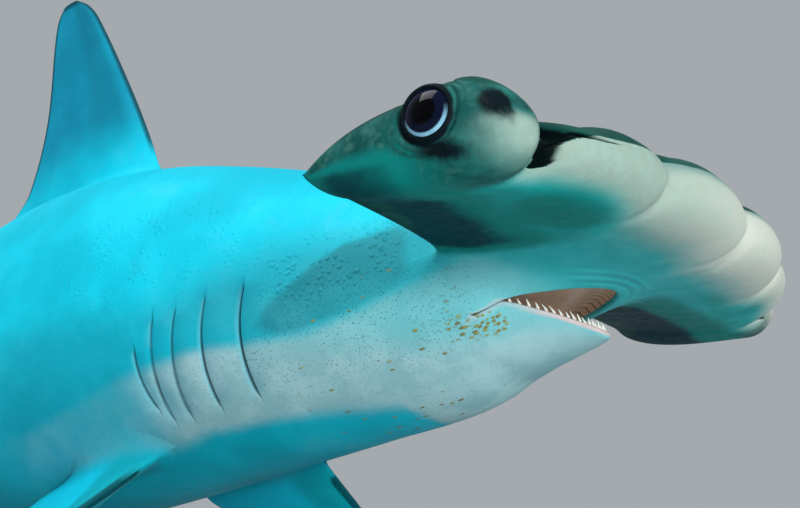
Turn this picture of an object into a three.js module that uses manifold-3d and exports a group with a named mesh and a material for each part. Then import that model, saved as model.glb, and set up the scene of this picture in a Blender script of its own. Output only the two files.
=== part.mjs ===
// A scalloped hammerhead shark at life size, as a still museum model on a display stand.
// Millimetres, +Z up, +X towards the snout. The origin is the centre of the underside of the base.
import * as THREE from 'three';
import { mergeVertices } from 'three/addons/utils/BufferGeometryUtils.js';
import Module from 'manifold-3d';

const wasm = await Module();
wasm.setup();

// Whole animal: length along the back, width of the hammer, and the height of the spine line
const bodyLength = 2600;
const hammerHalfWidth = 324;
const spineHeight = 460;
const spineOverBase = 920;
const gap = 0.3;

// Pose: the head pitches up and turns a little, and the tail sweeps in one slow wave
const headPitch = 0.1;
const headYaw = 0.1;
const tailYaw = -0.3;
const neckStart = 200;
const neckEnd = 650;
const waveLength = 1300;

// Trunk sections, from the snout back: place, top, bottom, half width and height of the widest line
const trunkSections = [
  { at: 50, top: 8, bottom: -18, half: 50, widest: -6 },
  { at: 130, top: 44, bottom: -38, half: 82, widest: -6 },
  { at: 170, top: 62, bottom: -46, half: 88, widest: -7 },
  { at: 205, top: 78, bottom: -59, half: 92, widest: -8 },
  { at: 238, top: 94, bottom: -94, half: 97, widest: -8 },
  { at: 290, top: 118, bottom: -112, half: 104, widest: -8 },
  { at: 400, top: 162, bottom: -118, half: 124, widest: 0 },
  { at: 520, top: 204, bottom: -127, half: 141, widest: 10 },
  { at: 640, top: 236, bottom: -140, half: 150, widest: 20 },
  { at: 760, top: 252, bottom: -149, half: 152, widest: 25 },
  { at: 900, top: 246, bottom: -145, half: 147, widest: 30 },
  { at: 1100, top: 210, bottom: -114, half: 126, widest: 34 },
  { at: 1320, top: 158, bottom: -70, half: 96, widest: 36 },
  { at: 1540, top: 110, bottom: -24, half: 64, widest: 38 },
  { at: 1740, top: 82, bottom: 8, half: 38, widest: 42 },
  { at: 1900, top: 78, bottom: 16, half: 28, widest: 44 },
];
const trunkEnd = 1900;
const blend = 1000;
const leastHalf = 20;
const aheadFall = 60;
const snoutFade = { length: 50, level: 169, spread: 0.2324 };

// Hammer: leading edge with its notches, trailing edge, thickness and tips
const noseAt = 2;
const leadSweep = 50;
const leadPower = 2.2;
const nostrilOut = 265;
const outerNotchOut = 141;
const notches = [
  { out: 0, depth: 8, width: 20 },
  { out: outerNotchOut, depth: 10, width: 18 },
  { out: nostrilOut, depth: 16, width: 12 },
];
const trailAt = 224;
const trailSweep = 22;
const trailPower = 2.5;
const wingHalfThick = 33;
const tipSwell = 0.16;
const noseLength = 52;
const tipNoseLength = 34;
const taperPower = 1.5;
const tipTaperPower = 3;
const trailBlunt = 1.5;
const tipBlunt = 1;
const tipAt = 115;
const tipTaper = 17;
const tipPower = 32;
const pastTipFall = 6000;
const tipRise = 15;
const noseDroop = 16;
const lobeBulge = 3;

// Upper side of the hammer, as shares of the half thickness: flattened inside the nostrils and at the
// rear of the tips, and raised over the inner lobes
const flatTop = { from: 185, full: 228, until: 256, end: 285, by: 0.42 };
const flatTip = { from: 272, full: 300, behind: 90, fullBehind: 160, by: 0.26 };
const raisedLobe = { from: 15, full: 55, until: 75, end: 115, by: 0.2 };

// Where the rays that lay out the body's grid start on the middle line, and where they point
const rayFrom = { lead: 110, tipFront: 118, tipRear: 155, neck: 210, body: 300 };
const cornerSpan = { at: 66, back: 28, out: 287, wide: 36 };
const tipSpan = { at: 94, back: 134 };
const trailSpan = { from: 311, to: 128, flare: 6 };
const neckSpan = { at: 236, out: 118 };
const bodyOut = 100;

// Eyes: a large ball sits in the outer face of each wing, and its cap shows inside a raised lid
const eye = { at: 126, out: 303, up: 13, radius: 26 };
const lid = { radius: 20.5, thick: 4, out: 319 };

// Mouth: an arch under the head, the jaw dropped open at its front, and one row of teeth on its lip.
// The roof and the jaw's lip are heights at a few places back from the snout.
const mouth = { front: 131, corner: 232, half: 84, dome: 14, deep: -190 };
const mouthRoof = [[131, -36], [195, -35], [214, -38], [238, -46]];
const jaw = { front: 147, back: 238, half: 85, frontUnder: -80, backUnder: -94.5, lipRound: 2, centre: -8 };
const jawLip = [[147, -70], [170, -59], [187, -51.5], [209, -41], [238, -48]];
const tooth = { row: 56, count: 26, height: 8, radius: 2.6, sunk: 4, sides: 4 };

// Gill slits: place of the top and bottom end of each, on the flank
const gillSlits = [
  { top: 438, topUp: 28, bottom: 448, bottomUp: -78 },
  { top: 480, topUp: 25, bottom: 492, bottomUp: -81 },
  { top: 515, topUp: 18, bottom: 528, bottomUp: -84 },
  { top: 543, topUp: 15, bottom: 549, bottomUp: -84 },
  { top: 569, topUp: -13, bottom: 561, bottomUp: -72 },
];
const gill = { bow: 3, width: 3, depth: 16, slant: 10, steps: 6 };

// Nostrils: a slot in the leading edge, and a groove that runs inwards from it
const nostril = { radius: 13, length: 24, up: -2 };
const groove = { from: 256, to: 205, radius: 3.5, up: -4.5, fall: 2.5 };

// Stand: a flat base and two rods with flanges
const base = { length: 1150, width: 620, thick: 30, corner: 70, bevel: 4 };
const rod = { radius: 18 };
const flange = { radius: 55, thick: 12, edge: 2 };
const rodPlaces = { front: spineOverBase - 170, rear: spineOverBase + 170 };

// Smooth step from 0 at a to 1 at b
function step(a, b, x) {
  const t = Math.min(1, Math.max(0, (x - a) / (b - a)));
  return t * t * (3 - 2 * t);
}

// One value of the trunk table at a place, by cubic pieces through the sections
function alongTrunk(key, s) {
  const rows = trunkSections;
  const last = rows.length - 1;
  const slope = (i) => {
    const a = rows[Math.max(0, i - 1)];
    const b = rows[Math.min(last, i + 1)];
    return (b[key] - a[key]) / (b.at - a.at);
  };
  let i = 0;
  while (i < last - 1 && s > rows[i + 1].at) {
    i += 1;
  }
  const a = rows[i];
  const b = rows[i + 1];
  const d = b.at - a.at;
  const t = Math.min(1, Math.max(0, (s - a.at) / d));
  const t2 = t * t;
  const t3 = t2 * t;
  const ends = a[key] * (2 * t3 - 3 * t2 + 1) + b[key] * (3 * t2 - 2 * t3);
  return ends + d * (slope(i) * (t3 - 2 * t2 + t) + slope(i + 1) * (t3 - t2));
}

// Heading of the spine at a place: turn about the vertical and nose-up pitch
function heading(s) {
  const neck = 1 - step(neckStart, neckEnd, s);
  const phase = Math.PI * Math.min(1.6, Math.max(0, (s - neckEnd) / waveLength));
  const wave = (1 - Math.cos(phase)) / 2;
  return { yaw: headYaw * neck + tailYaw * wave, pitch: headPitch * neck };
}

// The spine line, stepped off from the neck forwards and backwards
const spineStep = 10;
const spineFrom = -200;
const spineTo = 2800;
const spine = [];
{
  let point = new THREE.Vector3();
  for (let s = spineFrom; s <= spineTo; s += spineStep) {
    spine.push(point.clone());
    const h = heading(s + spineStep / 2);
    const flat = Math.cos(h.pitch) * spineStep;
    point = point.clone().add(
      new THREE.Vector3(-Math.cos(h.yaw) * flat, -Math.sin(h.yaw) * flat, -Math.sin(h.pitch) * spineStep),
    );
  }
  const home = spine[(neckEnd - spineFrom) / spineStep].clone();
  const shift = new THREE.Vector3(spineOverBase - neckEnd, 0, spineHeight).sub(home);
  spine.forEach((p) => p.add(shift));
}

// A point given as distance back from the snout, out to the left and up, in the place it has when posed
function posed(s, y, z) {
  const k = (s - spineFrom) / spineStep;
  const i = Math.min(spine.length - 2, Math.max(0, Math.floor(k)));
  const centre = spine[i].clone().lerp(spine[i + 1], k - i);
  const h = heading(s);
  const left = new THREE.Vector3(-Math.sin(h.yaw), Math.cos(h.yaw), 0);
  const ahead = new THREE.Vector3(
    Math.cos(h.yaw) * Math.cos(h.pitch),
    Math.sin(h.yaw) * Math.cos(h.pitch),
    Math.sin(h.pitch),
  );
  const up = ahead.clone().cross(left);
  return centre.addScaledVector(left, y).addScaledVector(up, z);
}

function between(a, b, t) {
  return a + (b - a) * t;
}

// Leading and trailing edge of the hammer at a distance out from the middle
function leadEdge(y) {
  const out = Math.abs(y);
  const lobe = Math.sin(Math.PI * Math.min(1, out / outerNotchOut));
  let s = noseAt + leadSweep * (out / nostrilOut) ** leadPower - lobeBulge * Math.max(0, lobe) ** 1.5;
  notches.forEach((n) => {
    s += n.depth * Math.exp(-(Math.hypot(out - n.out, 4) - 4) / n.width);
  });
  return s;
}
function trailEdge(y) {
  return trailAt + trailSweep * (Math.abs(y) / hammerHalfWidth) ** trailPower;
}
function signedPower(x, p) {
  return Math.sign(x) * Math.abs(x) ** p;
}

// How high the upper side of the hammer stands, as a share of the half thickness
function wingTop(s, y) {
  const out = Math.abs(y);
  const flat = step(flatTop.from, flatTop.full, out) * (1 - step(flatTop.until, flatTop.end, out));
  const rear = step(flatTip.from, flatTip.full, out) * step(flatTip.behind, flatTip.fullBehind, s);
  const lobe = step(raisedLobe.from, raisedLobe.full, out)
    * (1 - step(raisedLobe.until, raisedLobe.end, out));
  return 1 - flatTop.by * flat - flatTip.by * rear + raisedLobe.by * lobe;
}

// Squared half thickness of trunk and hammer, joined by a soft maximum so that the neck is filleted
function thickness(s, y) {
  const top = alongTrunk('top', s);
  const bottom = alongTrunk('bottom', s);
  const half = Math.max(leastHalf, alongTrunk('half', s));
  const widest = alongTrunk('widest', s);
  const deep = (top - bottom) / 2;
  const snoutAt = trunkSections[0].at;
  const snout = 1 - step(snoutAt, snoutAt + snoutFade.length, s);
  const rounded = deep * deep * (1 - (y / half) ** 2);
  const fade = (snoutFade.level + snoutFade.spread * y * y) * snout;
  const trunk = rounded - fade - aheadFall * Math.max(0, snoutAt - s);
  const lead = leadEdge(y);
  const chord = (s - lead) / (trailEdge(y) - lead);
  const tipShare = step(nostrilOut - 15, nostrilOut + 40, Math.abs(y));
  const nose = noseLength + (tipNoseLength - noseLength) * tipShare;
  const behind = s - lead - nose;
  const taperBy = taperPower + (tipTaperPower - taperPower) * tipShare;
  const bluntBy = trailBlunt + (tipBlunt - trailBlunt) * tipShare;
  const taper = 1 - signedPower(behind / (trailEdge(y) - lead - nose), taperBy);
  const foil = behind < 0 ? 1 - (behind / nose) ** 2 : signedPower(taper, bluntBy);
  const fromEye = Math.min(1.2, Math.max(-1, (s - tipAt) / tipAt));
  const tipOut = hammerHalfWidth - tipTaper * fromEye ** 2;
  const tip = 1 - (Math.abs(y) / tipOut) ** tipPower;
  const thick = wingHalfThick * (1 + tipSwell * tipShare);
  const wing = thick * thick * foil * Math.max(tip, 0) - pastTipFall * Math.max(-tip, 0);
  const spread = Math.sqrt((trunk - wing) ** 2 + blend * blend);
  const share = 0.5 * (1 + (trunk - wing) / spread);
  const out = Math.abs(y) / hammerHalfWidth;
  const droop = tipRise * out ** 2 - noseDroop * (1 - Math.min(1, Math.max(0, chord))) ** 2;
  return {
    square: 0.5 * (trunk + wing + spread),
    middle: share * widest + (1 - share) * droop,
    over: share * (top - widest) / deep + (1 - share) * wingTop(s, y),
    under: share * (widest - bottom) / deep + (1 - share),
  };
}

// Heights of the skin over and under a point of the plan
function skinHeights(s, y) {
  const t = thickness(s, y);
  const half = Math.sqrt(Math.max(0, t.square));
  return { over: t.middle + half * t.over, under: t.middle - half * t.under };
}

// Rays of the plan: each runs from the middle line out to the rim, and they fan round the hammer
const rays = [];
{
  const fan = [];
  const leadSteps = 24;
  for (let i = 0; i <= leadSteps; i += 1) {
    const y = cornerSpan.out * (i / leadSteps);
    fan.push({ from: rayFrom.lead, s: leadEdge(y), y });
  }
  const cornerSteps = 4;
  for (let i = 1; i <= cornerSteps; i += 1) {
    const t = i / cornerSteps;
    fan.push({
      from: between(rayFrom.lead, rayFrom.tipFront, t),
      s: cornerSpan.at + cornerSpan.back * t * t,
      y: cornerSpan.out + cornerSpan.wide * t * (2 - t),
    });
  }
  const tipSteps = 7;
  for (let i = 1; i <= tipSteps; i += 1) {
    const t = i / tipSteps;
    fan.push({
      from: between(rayFrom.tipFront, rayFrom.tipRear, t),
      s: tipSpan.at + tipSpan.back * t,
      y: hammerHalfWidth - tipTaper * t * t,
    });
  }
  const trailSteps = 9;
  for (let i = 1; i <= trailSteps; i += 1) {
    const t = i / trailSteps;
    const y = between(trailSpan.from, trailSpan.to, t);
    fan.push({
      from: between(rayFrom.tipRear, rayFrom.neck, t),
      s: trailEdge(y) + trailSpan.flare * t * t,
      y,
    });
  }
  const neckSteps = 5;
  for (let i = 1; i <= neckSteps; i += 1) {
    const t = i / neckSteps;
    fan.push({
      from: between(rayFrom.neck, rayFrom.body, t),
      s: between(neckSpan.at, rayFrom.body, t),
      y: neckSpan.out,
    });
  }
  const bodySteps = 27;
  for (let i = 1; i <= bodySteps; i += 1) {
    const s = between(rayFrom.body, trunkEnd, i / bodySteps);
    fan.push({ from: s, s, y: bodyOut });
  }
  fan.forEach((f) => rays.push(rimRay(f)));
}

// A ray with its end moved to where the thickness falls to nothing
function rimRay(f) {
  const ds = f.s - f.from;
  let inner = 0.3;
  let outer = 2.4;
  for (let i = 0; i < 40; i += 1) {
    const mid = (inner + outer) / 2;
    if (thickness(f.from + ds * mid, f.y * mid).square > 0) {
      inner = mid;
    } else {
      outer = mid;
    }
  }
  return { from: f.from, ds: ds * inner, dy: f.y * inner };
}

// Skin of the whole body as one closed grid: over and under, left and right, and a flat end at the tail
function bodyGeometry() {
  const across = 7;
  const positions = [];
  const index = [];
  const at = (ray, j, side, over) => {
    const v = Math.sin((Math.PI / 2) * (j / across));
    const s = ray.from + ray.ds * v;
    const y = ray.dy * v;
    const h = skinHeights(s, y);
    const z = over ? h.over : h.under;
    return posed(s, side * y, j === across ? thickness(s, y).middle : z);
  };
  const patch = (side, over) => {
    const start = positions.length / 3;
    rays.forEach((ray) => {
      for (let j = 0; j <= across; j += 1) {
        positions.push(...at(ray, j, side, over).toArray());
      }
    });
    const end = start + (rays.length - 1) * (across + 1);
    const hub = positions.length / 3;
    positions.push(...posed(trunkEnd, 0, thickness(trunkEnd, 0).middle).toArray());
    const faces = [];
    for (let i = 0; i < rays.length - 1; i += 1) {
      for (let j = 0; j < across; j += 1) {
        const a = start + i * (across + 1) + j;
        const b = a + across + 1;
        faces.push([a, b, b + 1], [a, b + 1, a + 1]);
      }
    }
    for (let j = 0; j < across; j += 1) {
      faces.push([end + j, hub, end + j + 1]);
    }
    faces.forEach((f) => index.push(...(side > 0 === over ? f : f.reverse())));
  };
  [1, -1].forEach((side) => {
    patch(side, true);
    patch(side, false);
  });
  return indexed(positions, index);
}

function indexed(positions, index) {
  const geometry = new THREE.BufferGeometry();
  geometry.setAttribute('position', new THREE.Float32BufferAttribute(positions, 3));
  geometry.setIndex(index);
  return geometry;
}

// A closed solid through rings of points, each end closed by a fan, with the same diagonals all round
function loft(rings) {
  const count = rings[0].length;
  const positions = rings.flat().flatMap((p) => p.toArray());
  const index = [];
  for (let i = 0; i < rings.length - 1; i += 1) {
    for (let j = 0; j < count; j += 1) {
      const a = i * count + j;
      const b = i * count + ((j + 1) % count);
      index.push(a, b, b + count, a, b + count, a + count);
    }
  }
  [0, rings.length - 1].forEach((i) => {
    const hub = new THREE.Vector3();
    rings[i].forEach((p) => hub.addScaledVector(p, 1 / count));
    const centre = positions.length / 3;
    positions.push(...hub.toArray());
    for (let j = 0; j < count; j += 1) {
      const a = i * count + j;
      const b = i * count + ((j + 1) % count);
      index.push(...(i === 0 ? [b, a, centre] : [a, b, centre]));
    }
  });
  return indexed(positions, index);
}

// Welded copy of a geometry with only its positions, turned right side out
function welded(geometry) {
  const bare = new THREE.BufferGeometry();
  bare.setAttribute('position', geometry.getAttribute('position').clone());
  bare.setIndex(geometry.getIndex().clone());
  const merged = mergeVertices(bare, 1e-3);
  const points = merged.getAttribute('position').array;
  const from = merged.getIndex().array;
  const kept = [];
  for (let i = 0; i < from.length; i += 3) {
    const [a, b, c] = [from[i], from[i + 1], from[i + 2]];
    if (a !== b && b !== c && c !== a) {
      kept.push(a, b, c);
    }
  }
  if (signedVolume(points, kept) < 0) {
    kept.reverse();
  }
  merged.setIndex(kept);
  return merged;
}

function signedVolume(points, index) {
  const [a, b, c] = [new THREE.Vector3(), new THREE.Vector3(), new THREE.Vector3()];
  let six = 0;
  for (let i = 0; i < index.length; i += 3) {
    a.fromArray(points, 3 * index[i]);
    b.fromArray(points, 3 * index[i + 1]);
    c.fromArray(points, 3 * index[i + 2]);
    six += a.dot(b.cross(c));
  }
  return six / 6;
}

function solid(geometry) {
  const merged = welded(geometry);
  const vertProperties = new Float32Array(merged.getAttribute('position').array);
  const triVerts = new Uint32Array(merged.getIndex().array);
  return new wasm.Manifold(new wasm.Mesh({ numProp: 3, vertProperties, triVerts }));
}

// The same solid with its skin moved out by the gap, to cut a neighbour with
function grown(geometry, offset = gap) {
  const merged = welded(geometry);
  merged.computeVertexNormals();
  const position = merged.getAttribute('position');
  const normal = merged.getAttribute('normal');
  for (let i = 0; i < position.count; i += 1) {
    position.setXYZ(
      i,
      position.getX(i) + offset * normal.getX(i),
      position.getY(i) + offset * normal.getY(i),
      position.getZ(i) + offset * normal.getZ(i),
    );
  }
  return solid(indexed(Array.from(position.array), Array.from(merged.getIndex().array)));
}

function largest(body) {
  return body.decompose().sort((a, b) => b.volume() - a.volume())[0];
}

// A fin: foil sections from its sunk root out to its tip, in the plane of two directions at its root.
// A twist turns the sections beyond the root, so that their rear edge swings across the fin's plane.
const twistBy = 0.3;
const leastFin = 0.6;
function finGeometry(f) {
  const chordSteps = [0, 0.06, 0.22, 0.5, 0.78, 0.95, 1];
  const back = f.back.clone().normalize();
  const out = f.out.clone().normalize();
  const across = back.clone().cross(out).normalize();
  const rings = f.stations.map((v) => {
    const lead = f.lead(v);
    const trail = f.trail(v);
    const half = 0.5 * f.thick * (1 - v * f.thin);
    const swing = (f.twist ?? 0) * step(0, twistBy, v) * (trail - lead);
    const ring = [];
    const put = (c, side) => {
      const bulge = Math.sin(Math.PI * Math.min(1, Math.max(0, c)) ** 0.62) ** 0.8;
      const spot = f.root.clone()
        .addScaledVector(back, lead + (trail - lead) * c)
        .addScaledVector(out, f.height * v)
        .addScaledVector(across, swing * c + side * Math.max(half * bulge, c > 0 && c < 1 ? leastFin : 0));
      ring.push(posed(spot.x, spot.y, spot.z));
    };
    chordSteps.forEach((c) => put(c, 1));
    chordSteps.slice(1, -1).reverse().forEach((c) => put(c, -1));
    return ring;
  });
  return loft(rings);
}

// A smooth curve through a few points of a fin's edge: how far back the edge is at a share of the height
function edge(points) {
  const last = points.length - 1;
  return (v) => {
    let i = 0;
    while (i < last - 1 && v > points[i + 1][0]) {
      i += 1;
    }
    const [v0, a0] = points[i];
    const [v1, a1] = points[i + 1];
    const slope = (k) => {
      const [va, aa] = points[Math.max(0, k - 1)];
      const [vb, ab] = points[Math.min(last, k + 1)];
      return (ab - aa) / (vb - va);
    };
    const t = (v - v0) / (v1 - v0);
    if (t < 0 || t > 1) {
      return t < 0 ? a0 : a1;
    }
    const d = v1 - v0;
    return a0 * (1 + 2 * t) * (1 - t) ** 2 + a1 * t * t * (3 - 2 * t)
      + d * (slope(i) * t * (1 - t) ** 2 - slope(i + 1) * t * t * (1 - t));
  };
}

const topAt = (s) => new THREE.Vector3(s, 0, alongTrunk('top', s));
const bottomAt = (s) => new THREE.Vector3(s, 0, alongTrunk('bottom', s));
function flankAt(s, side, z) {
  const widest = alongTrunk('widest', s);
  const reach = z > widest ? alongTrunk('top', s) - widest : widest - alongTrunk('bottom', s);
  const share = Math.min(1, Math.abs(z - widest) / reach);
  return new THREE.Vector3(s, side * alongTrunk('half', s) * Math.sqrt(1 - share * share), z);
}
const degrees = Math.PI / 180;
const backward = new THREE.Vector3(1, 0, 0);
const upward = new THREE.Vector3(0, 0, 1);
const downward = new THREE.Vector3(0, 0, -1);

// The pectoral fins as they are held: place of the root, backward sweep, downward droop, how the chord
// falls towards the rear, and how much the outer part is twisted with its rear edge down
const pectoralPose = {
  left: { at: 522, sweep: 6 * degrees, droop: 32 * degrees, fall: 0, twist: 0.05 },
  right: { at: 580, sweep: 28 * degrees, droop: 36 * degrees, fall: 0.1, twist: 0.25 },
};

// Every fin with the edges that its kind has: a convex front, a hollow rear and a free rear tip
function fins() {
  const list = {};
  list.first_dorsal_fin = {
    root: topAt(700).add(new THREE.Vector3(0, 0, -4)),
    back: backward,
    out: upward,
    height: 310,
    thick: 24,
    thin: 0.82,
    stations: [-0.16, 0, 0.03, 0.07, 0.16, 0.3, 0.5, 0.7, 0.86, 0.95, 1],
    lead: edge([[-0.16, -12], [0, -4], [0.2, 19], [0.5, 65], [0.86, 128], [0.95, 152], [1, 176]]),
    trail: edge([[-0.16, 236], [0, 244], [0.03, 306], [0.16, 266], [0.45, 232], [0.86, 222], [0.95, 216],
      [1, 204]]),
  };
  list.second_dorsal_fin = {
    root: topAt(1590).add(new THREE.Vector3(0, 0, -3)),
    back: backward,
    out: upward,
    height: 66,
    thick: 10,
    thin: 0.75,
    stations: [-0.35, 0, 0.12, 0.3, 0.55, 0.8, 1],
    lead: edge([[-0.35, -6], [0, 0], [0.5, 34], [0.8, 60], [1, 82]]),
    trail: edge([[-0.35, 92], [0, 98], [0.12, 222], [0.3, 166], [0.55, 122], [0.8, 104], [1, 96]]),
  };
  list.anal_fin = {
    root: bottomAt(1545).add(new THREE.Vector3(0, 0, 3)),
    back: backward,
    out: downward,
    height: 96,
    thick: 12,
    thin: 0.75,
    stations: [-0.3, 0, 0.1, 0.25, 0.45, 0.7, 0.9, 1],
    lead: edge([[-0.3, -6], [0, 0], [0.45, 52], [0.9, 112], [1, 128]]),
    trail: edge([[-0.3, 148], [0, 154], [0.1, 216], [0.25, 172], [0.45, 142], [0.7, 134], [0.9, 138],
      [1, 140]]),
  };
  [['left', 1], ['right', -1]].forEach(([word, side]) => {
    const { at, sweep, droop, fall, twist } = pectoralPose[word];
    const reach = new THREE.Vector3(
      Math.sin(sweep) * Math.cos(droop),
      side * Math.cos(sweep) * Math.cos(droop),
      -Math.sin(droop),
    );
    list[`pectoral_fin_${word}`] = {
      root: flankAt(at, side, -104).add(new THREE.Vector3(0, -side * 6, 3)),
      back: new THREE.Vector3(1, side * 0.02, -fall),
      twist: -side * twist,
      out: reach,
      height: 350,
      thick: 26,
      thin: 0.84,
      stations: [-0.14, 0, 0.04, 0.09, 0.2, 0.36, 0.54, 0.72, 0.87, 0.96, 1],
      lead: edge([[-0.14, -6], [0, 0], [0.54, 6], [0.87, 26], [1, 62]]),
      trail: edge([[-0.14, 132], [0, 142], [0.1, 202], [0.24, 168], [0.54, 104], [0.87, 77], [1, 74]]),
    };
    list[`pelvic_fin_${word}`] = {
      root: flankAt(1255, side, -50).add(new THREE.Vector3(0, -side * 4, 2)),
      back: new THREE.Vector3(1, -side * 0.12, 0.14),
      out: new THREE.Vector3(0.32, side * 0.72, -0.62),
      height: 112,
      thick: 14,
      thin: 0.8,
      stations: [-0.25, 0, 0.08, 0.22, 0.45, 0.7, 0.9, 1],
      lead: edge([[-0.25, -4], [0, 0], [0.45, 14], [0.9, 46], [1, 62]]),
      trail: edge([[-0.25, 118], [0, 124], [0.08, 176], [0.22, 156], [0.45, 126], [0.7, 100], [0.9, 84],
        [1, 78]]),
    };
  });
  return list;
}

// The tail fin: a long upper lobe that carries the spine, with its notch, and a shorter lower lobe
function tailLobes() {
  const rise = 28 * degrees;
  const root = new THREE.Vector3(trunkEnd - 40, 0, alongTrunk('top', trunkEnd - 40) - 1);
  const along = new THREE.Vector3(Math.cos(rise), 0, Math.sin(rise));
  const below = new THREE.Vector3(Math.sin(rise), 0, -Math.cos(rise));
  const upper = {
    root,
    back: below,
    out: along,
    height: bodyLength - root.x,
    thick: 46,
    thin: 0.94,
    stations: [0, 0.05, 0.12, 0.2, 0.3, 0.45, 0.6, 0.72, 0.77, 0.8, 0.85, 0.92, 0.97, 1],
    lead: edge([[0, 4], [0.05, -6], [0.3, 0], [0.72, -4], [1, 22]]),
    trail: edge([[0, 60], [0.05, 82], [0.12, 132], [0.2, 160], [0.3, 128], [0.6, 74], [0.72, 66], [0.77, 48],
      [0.8, 74], [0.85, 88], [0.92, 66], [1, 34]]),
  };
  const fall = 52 * degrees;
  const lower = {
    root: new THREE.Vector3(trunkEnd - 22, 0, alongTrunk('bottom', trunkEnd - 22) + 2),
    back: new THREE.Vector3(Math.sin(fall), 0, Math.cos(fall)),
    out: new THREE.Vector3(Math.cos(fall), 0, -Math.sin(fall)),
    height: 360,
    thick: 26,
    thin: 0.86,
    stations: [-0.06, 0, 0.1, 0.22, 0.36, 0.54, 0.72, 0.88, 0.96, 1],
    lead: edge([[-0.06, 10], [0, 0], [0.36, -12], [0.72, -4], [1, 22]]),
    trail: edge([[-0.06, 130], [0, 190], [0.1, 180], [0.22, 142], [0.36, 112], [0.72, 66], [0.88, 52],
      [1, 34]]),
  };
  return { upper: finGeometry(upper), lower: finGeometry(lower) };
}

// Half width of an arch that opens backwards from its front
function archHalf(a, s) {
  const share = Math.min(1, Math.max(0, (s - a.front) / ((a.corner ?? a.back) - a.front)));
  return a.half * Math.sqrt(share);
}

// The open mouth, cut out of the head up to a domed palate, and the throat behind it
function gapeGeometry() {
  const steps = 9;
  const across = 8;
  const rings = [];
  for (let i = 0; i <= steps; i += 1) {
    const s = mouth.front + (jaw.back - mouth.front) * (i / steps) ** 1.6;
    const half = Math.max(2, archHalf(mouth, s));
    const ring = [posed(s, half, mouth.deep), posed(s, -half, mouth.deep)];
    for (let j = 0; j <= across; j += 1) {
      const y = half * (-1 + (2 * j) / across);
      const rise = mouth.dome * (half / mouth.half) * (1 - (y / half) ** 2);
      ring.push(posed(s, y, edge(mouthRoof)(s) + rise));
    }
    rings.push(ring);
  }
  return loft(rings);
}
function throatGeometry() {
  const sphere = new THREE.SphereGeometry(1, 16, 10);
  const position = sphere.getAttribute('position');
  for (let i = 0; i < position.count; i += 1) {
    const p = posed(
      jaw.back - 12 + 42 * position.getX(i),
      62 * position.getY(i),
      -56 + 19 * position.getZ(i),
    );
    position.setXYZ(i, p.x, p.y, p.z);
  }
  return sphere;
}

// The lower jaw: an open arch with a raised lip round a sunk floor, and under it the curve of the trunk
function jawPoint(s, share) {
  const along = (s - jaw.front) / (jaw.back - jaw.front);
  const lip = edge(jawLip)(s);
  const under = jaw.frontUnder + (jaw.backUnder - jaw.frontUnder) * along;
  return { half: Math.max(3, archHalf(jaw, s)), lip, under, floor: lip - 9 * share };
}
function jawGeometry() {
  const steps = 10;
  const rings = [];
  for (let i = 0; i <= steps; i += 1) {
    const s = jaw.front + (jaw.back - jaw.front) * (i / steps) ** 1.6;
    const j = jawPoint(s, Math.min(1, i / 3));
    const lipIn = Math.max(0.45, 1 - 9 / j.half);
    const low = j.lip - jaw.lipRound;
    const top = [[-1, low], [-(1 + lipIn) / 2, j.lip], [-lipIn, low], [-lipIn * 0.6, j.floor],
      [0, j.floor - 1], [lipIn * 0.6, j.floor], [lipIn, low], [(1 + lipIn) / 2, j.lip], [1, low]];
    const ring = top.map(([u, z]) => posed(s, u * j.half, z));
    const deep = jaw.centre - j.under;
    const edgeShare = (jaw.centre - j.lip + jaw.lipRound) / deep;
    for (let k = 1; k < 8; k += 1) {
      const u = Math.cos((Math.PI * k) / 8);
      ring.push(posed(s, u * j.half, jaw.centre - deep * Math.sqrt(1 - (1 - edgeShare ** 2) * u * u)));
    }
    rings.push(ring);
  }
  return loft(rings);
}

// One pointed tooth on the lip at a share of the row from -1 to 1, leaning a little back
function toothGeometry(share, lean, growth) {
  const s = jaw.front + 3 + tooth.row * share * share;
  const j = jawPoint(s, 1);
  const y = Math.sign(share) * (j.half - Math.min(5, j.half * 0.4));
  const levels = [[-tooth.sunk, 1], [0.2 * tooth.height, 0.85], [growth * tooth.height, 0.12]];
  return loft(levels.map(([up, wide]) => {
    const r = tooth.radius * wide;
    const back = Math.max(0, up) * lean;
    return circle(tooth.sides, (a) => posed(s + back + r * Math.cos(a), y + r * Math.sin(a), j.lip + up));
  }));
}

// A gill slit: a thin bowed wedge that slants forwards into the flank
function gillGeometry(slit, side) {
  const rings = [];
  for (let i = 0; i <= gill.steps; i += 1) {
    const t = i / gill.steps;
    const bow = gill.bow * 4 * t * (1 - t);
    const s = slit.top + (slit.bottom - slit.top) * t + bow;
    const z = slit.topUp + (slit.bottomUp - slit.topUp) * t;
    const skin = flankAt(s, side, z);
    const close = Math.sin(Math.PI * Math.min(0.92, Math.max(0.08, t))) ** 0.5;
    const wide = 0.5 * gill.width * close;
    const outer = skin.y + side * 3;
    const inner = skin.y - side * gill.depth * close;
    rings.push([
      posed(s - wide, outer, z),
      posed(s + wide, outer, z),
      posed(s - gill.slant + 0.4, inner, z),
      posed(s - gill.slant - 0.4, inner, z),
    ]);
  }
  return loft(rings);
}

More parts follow.
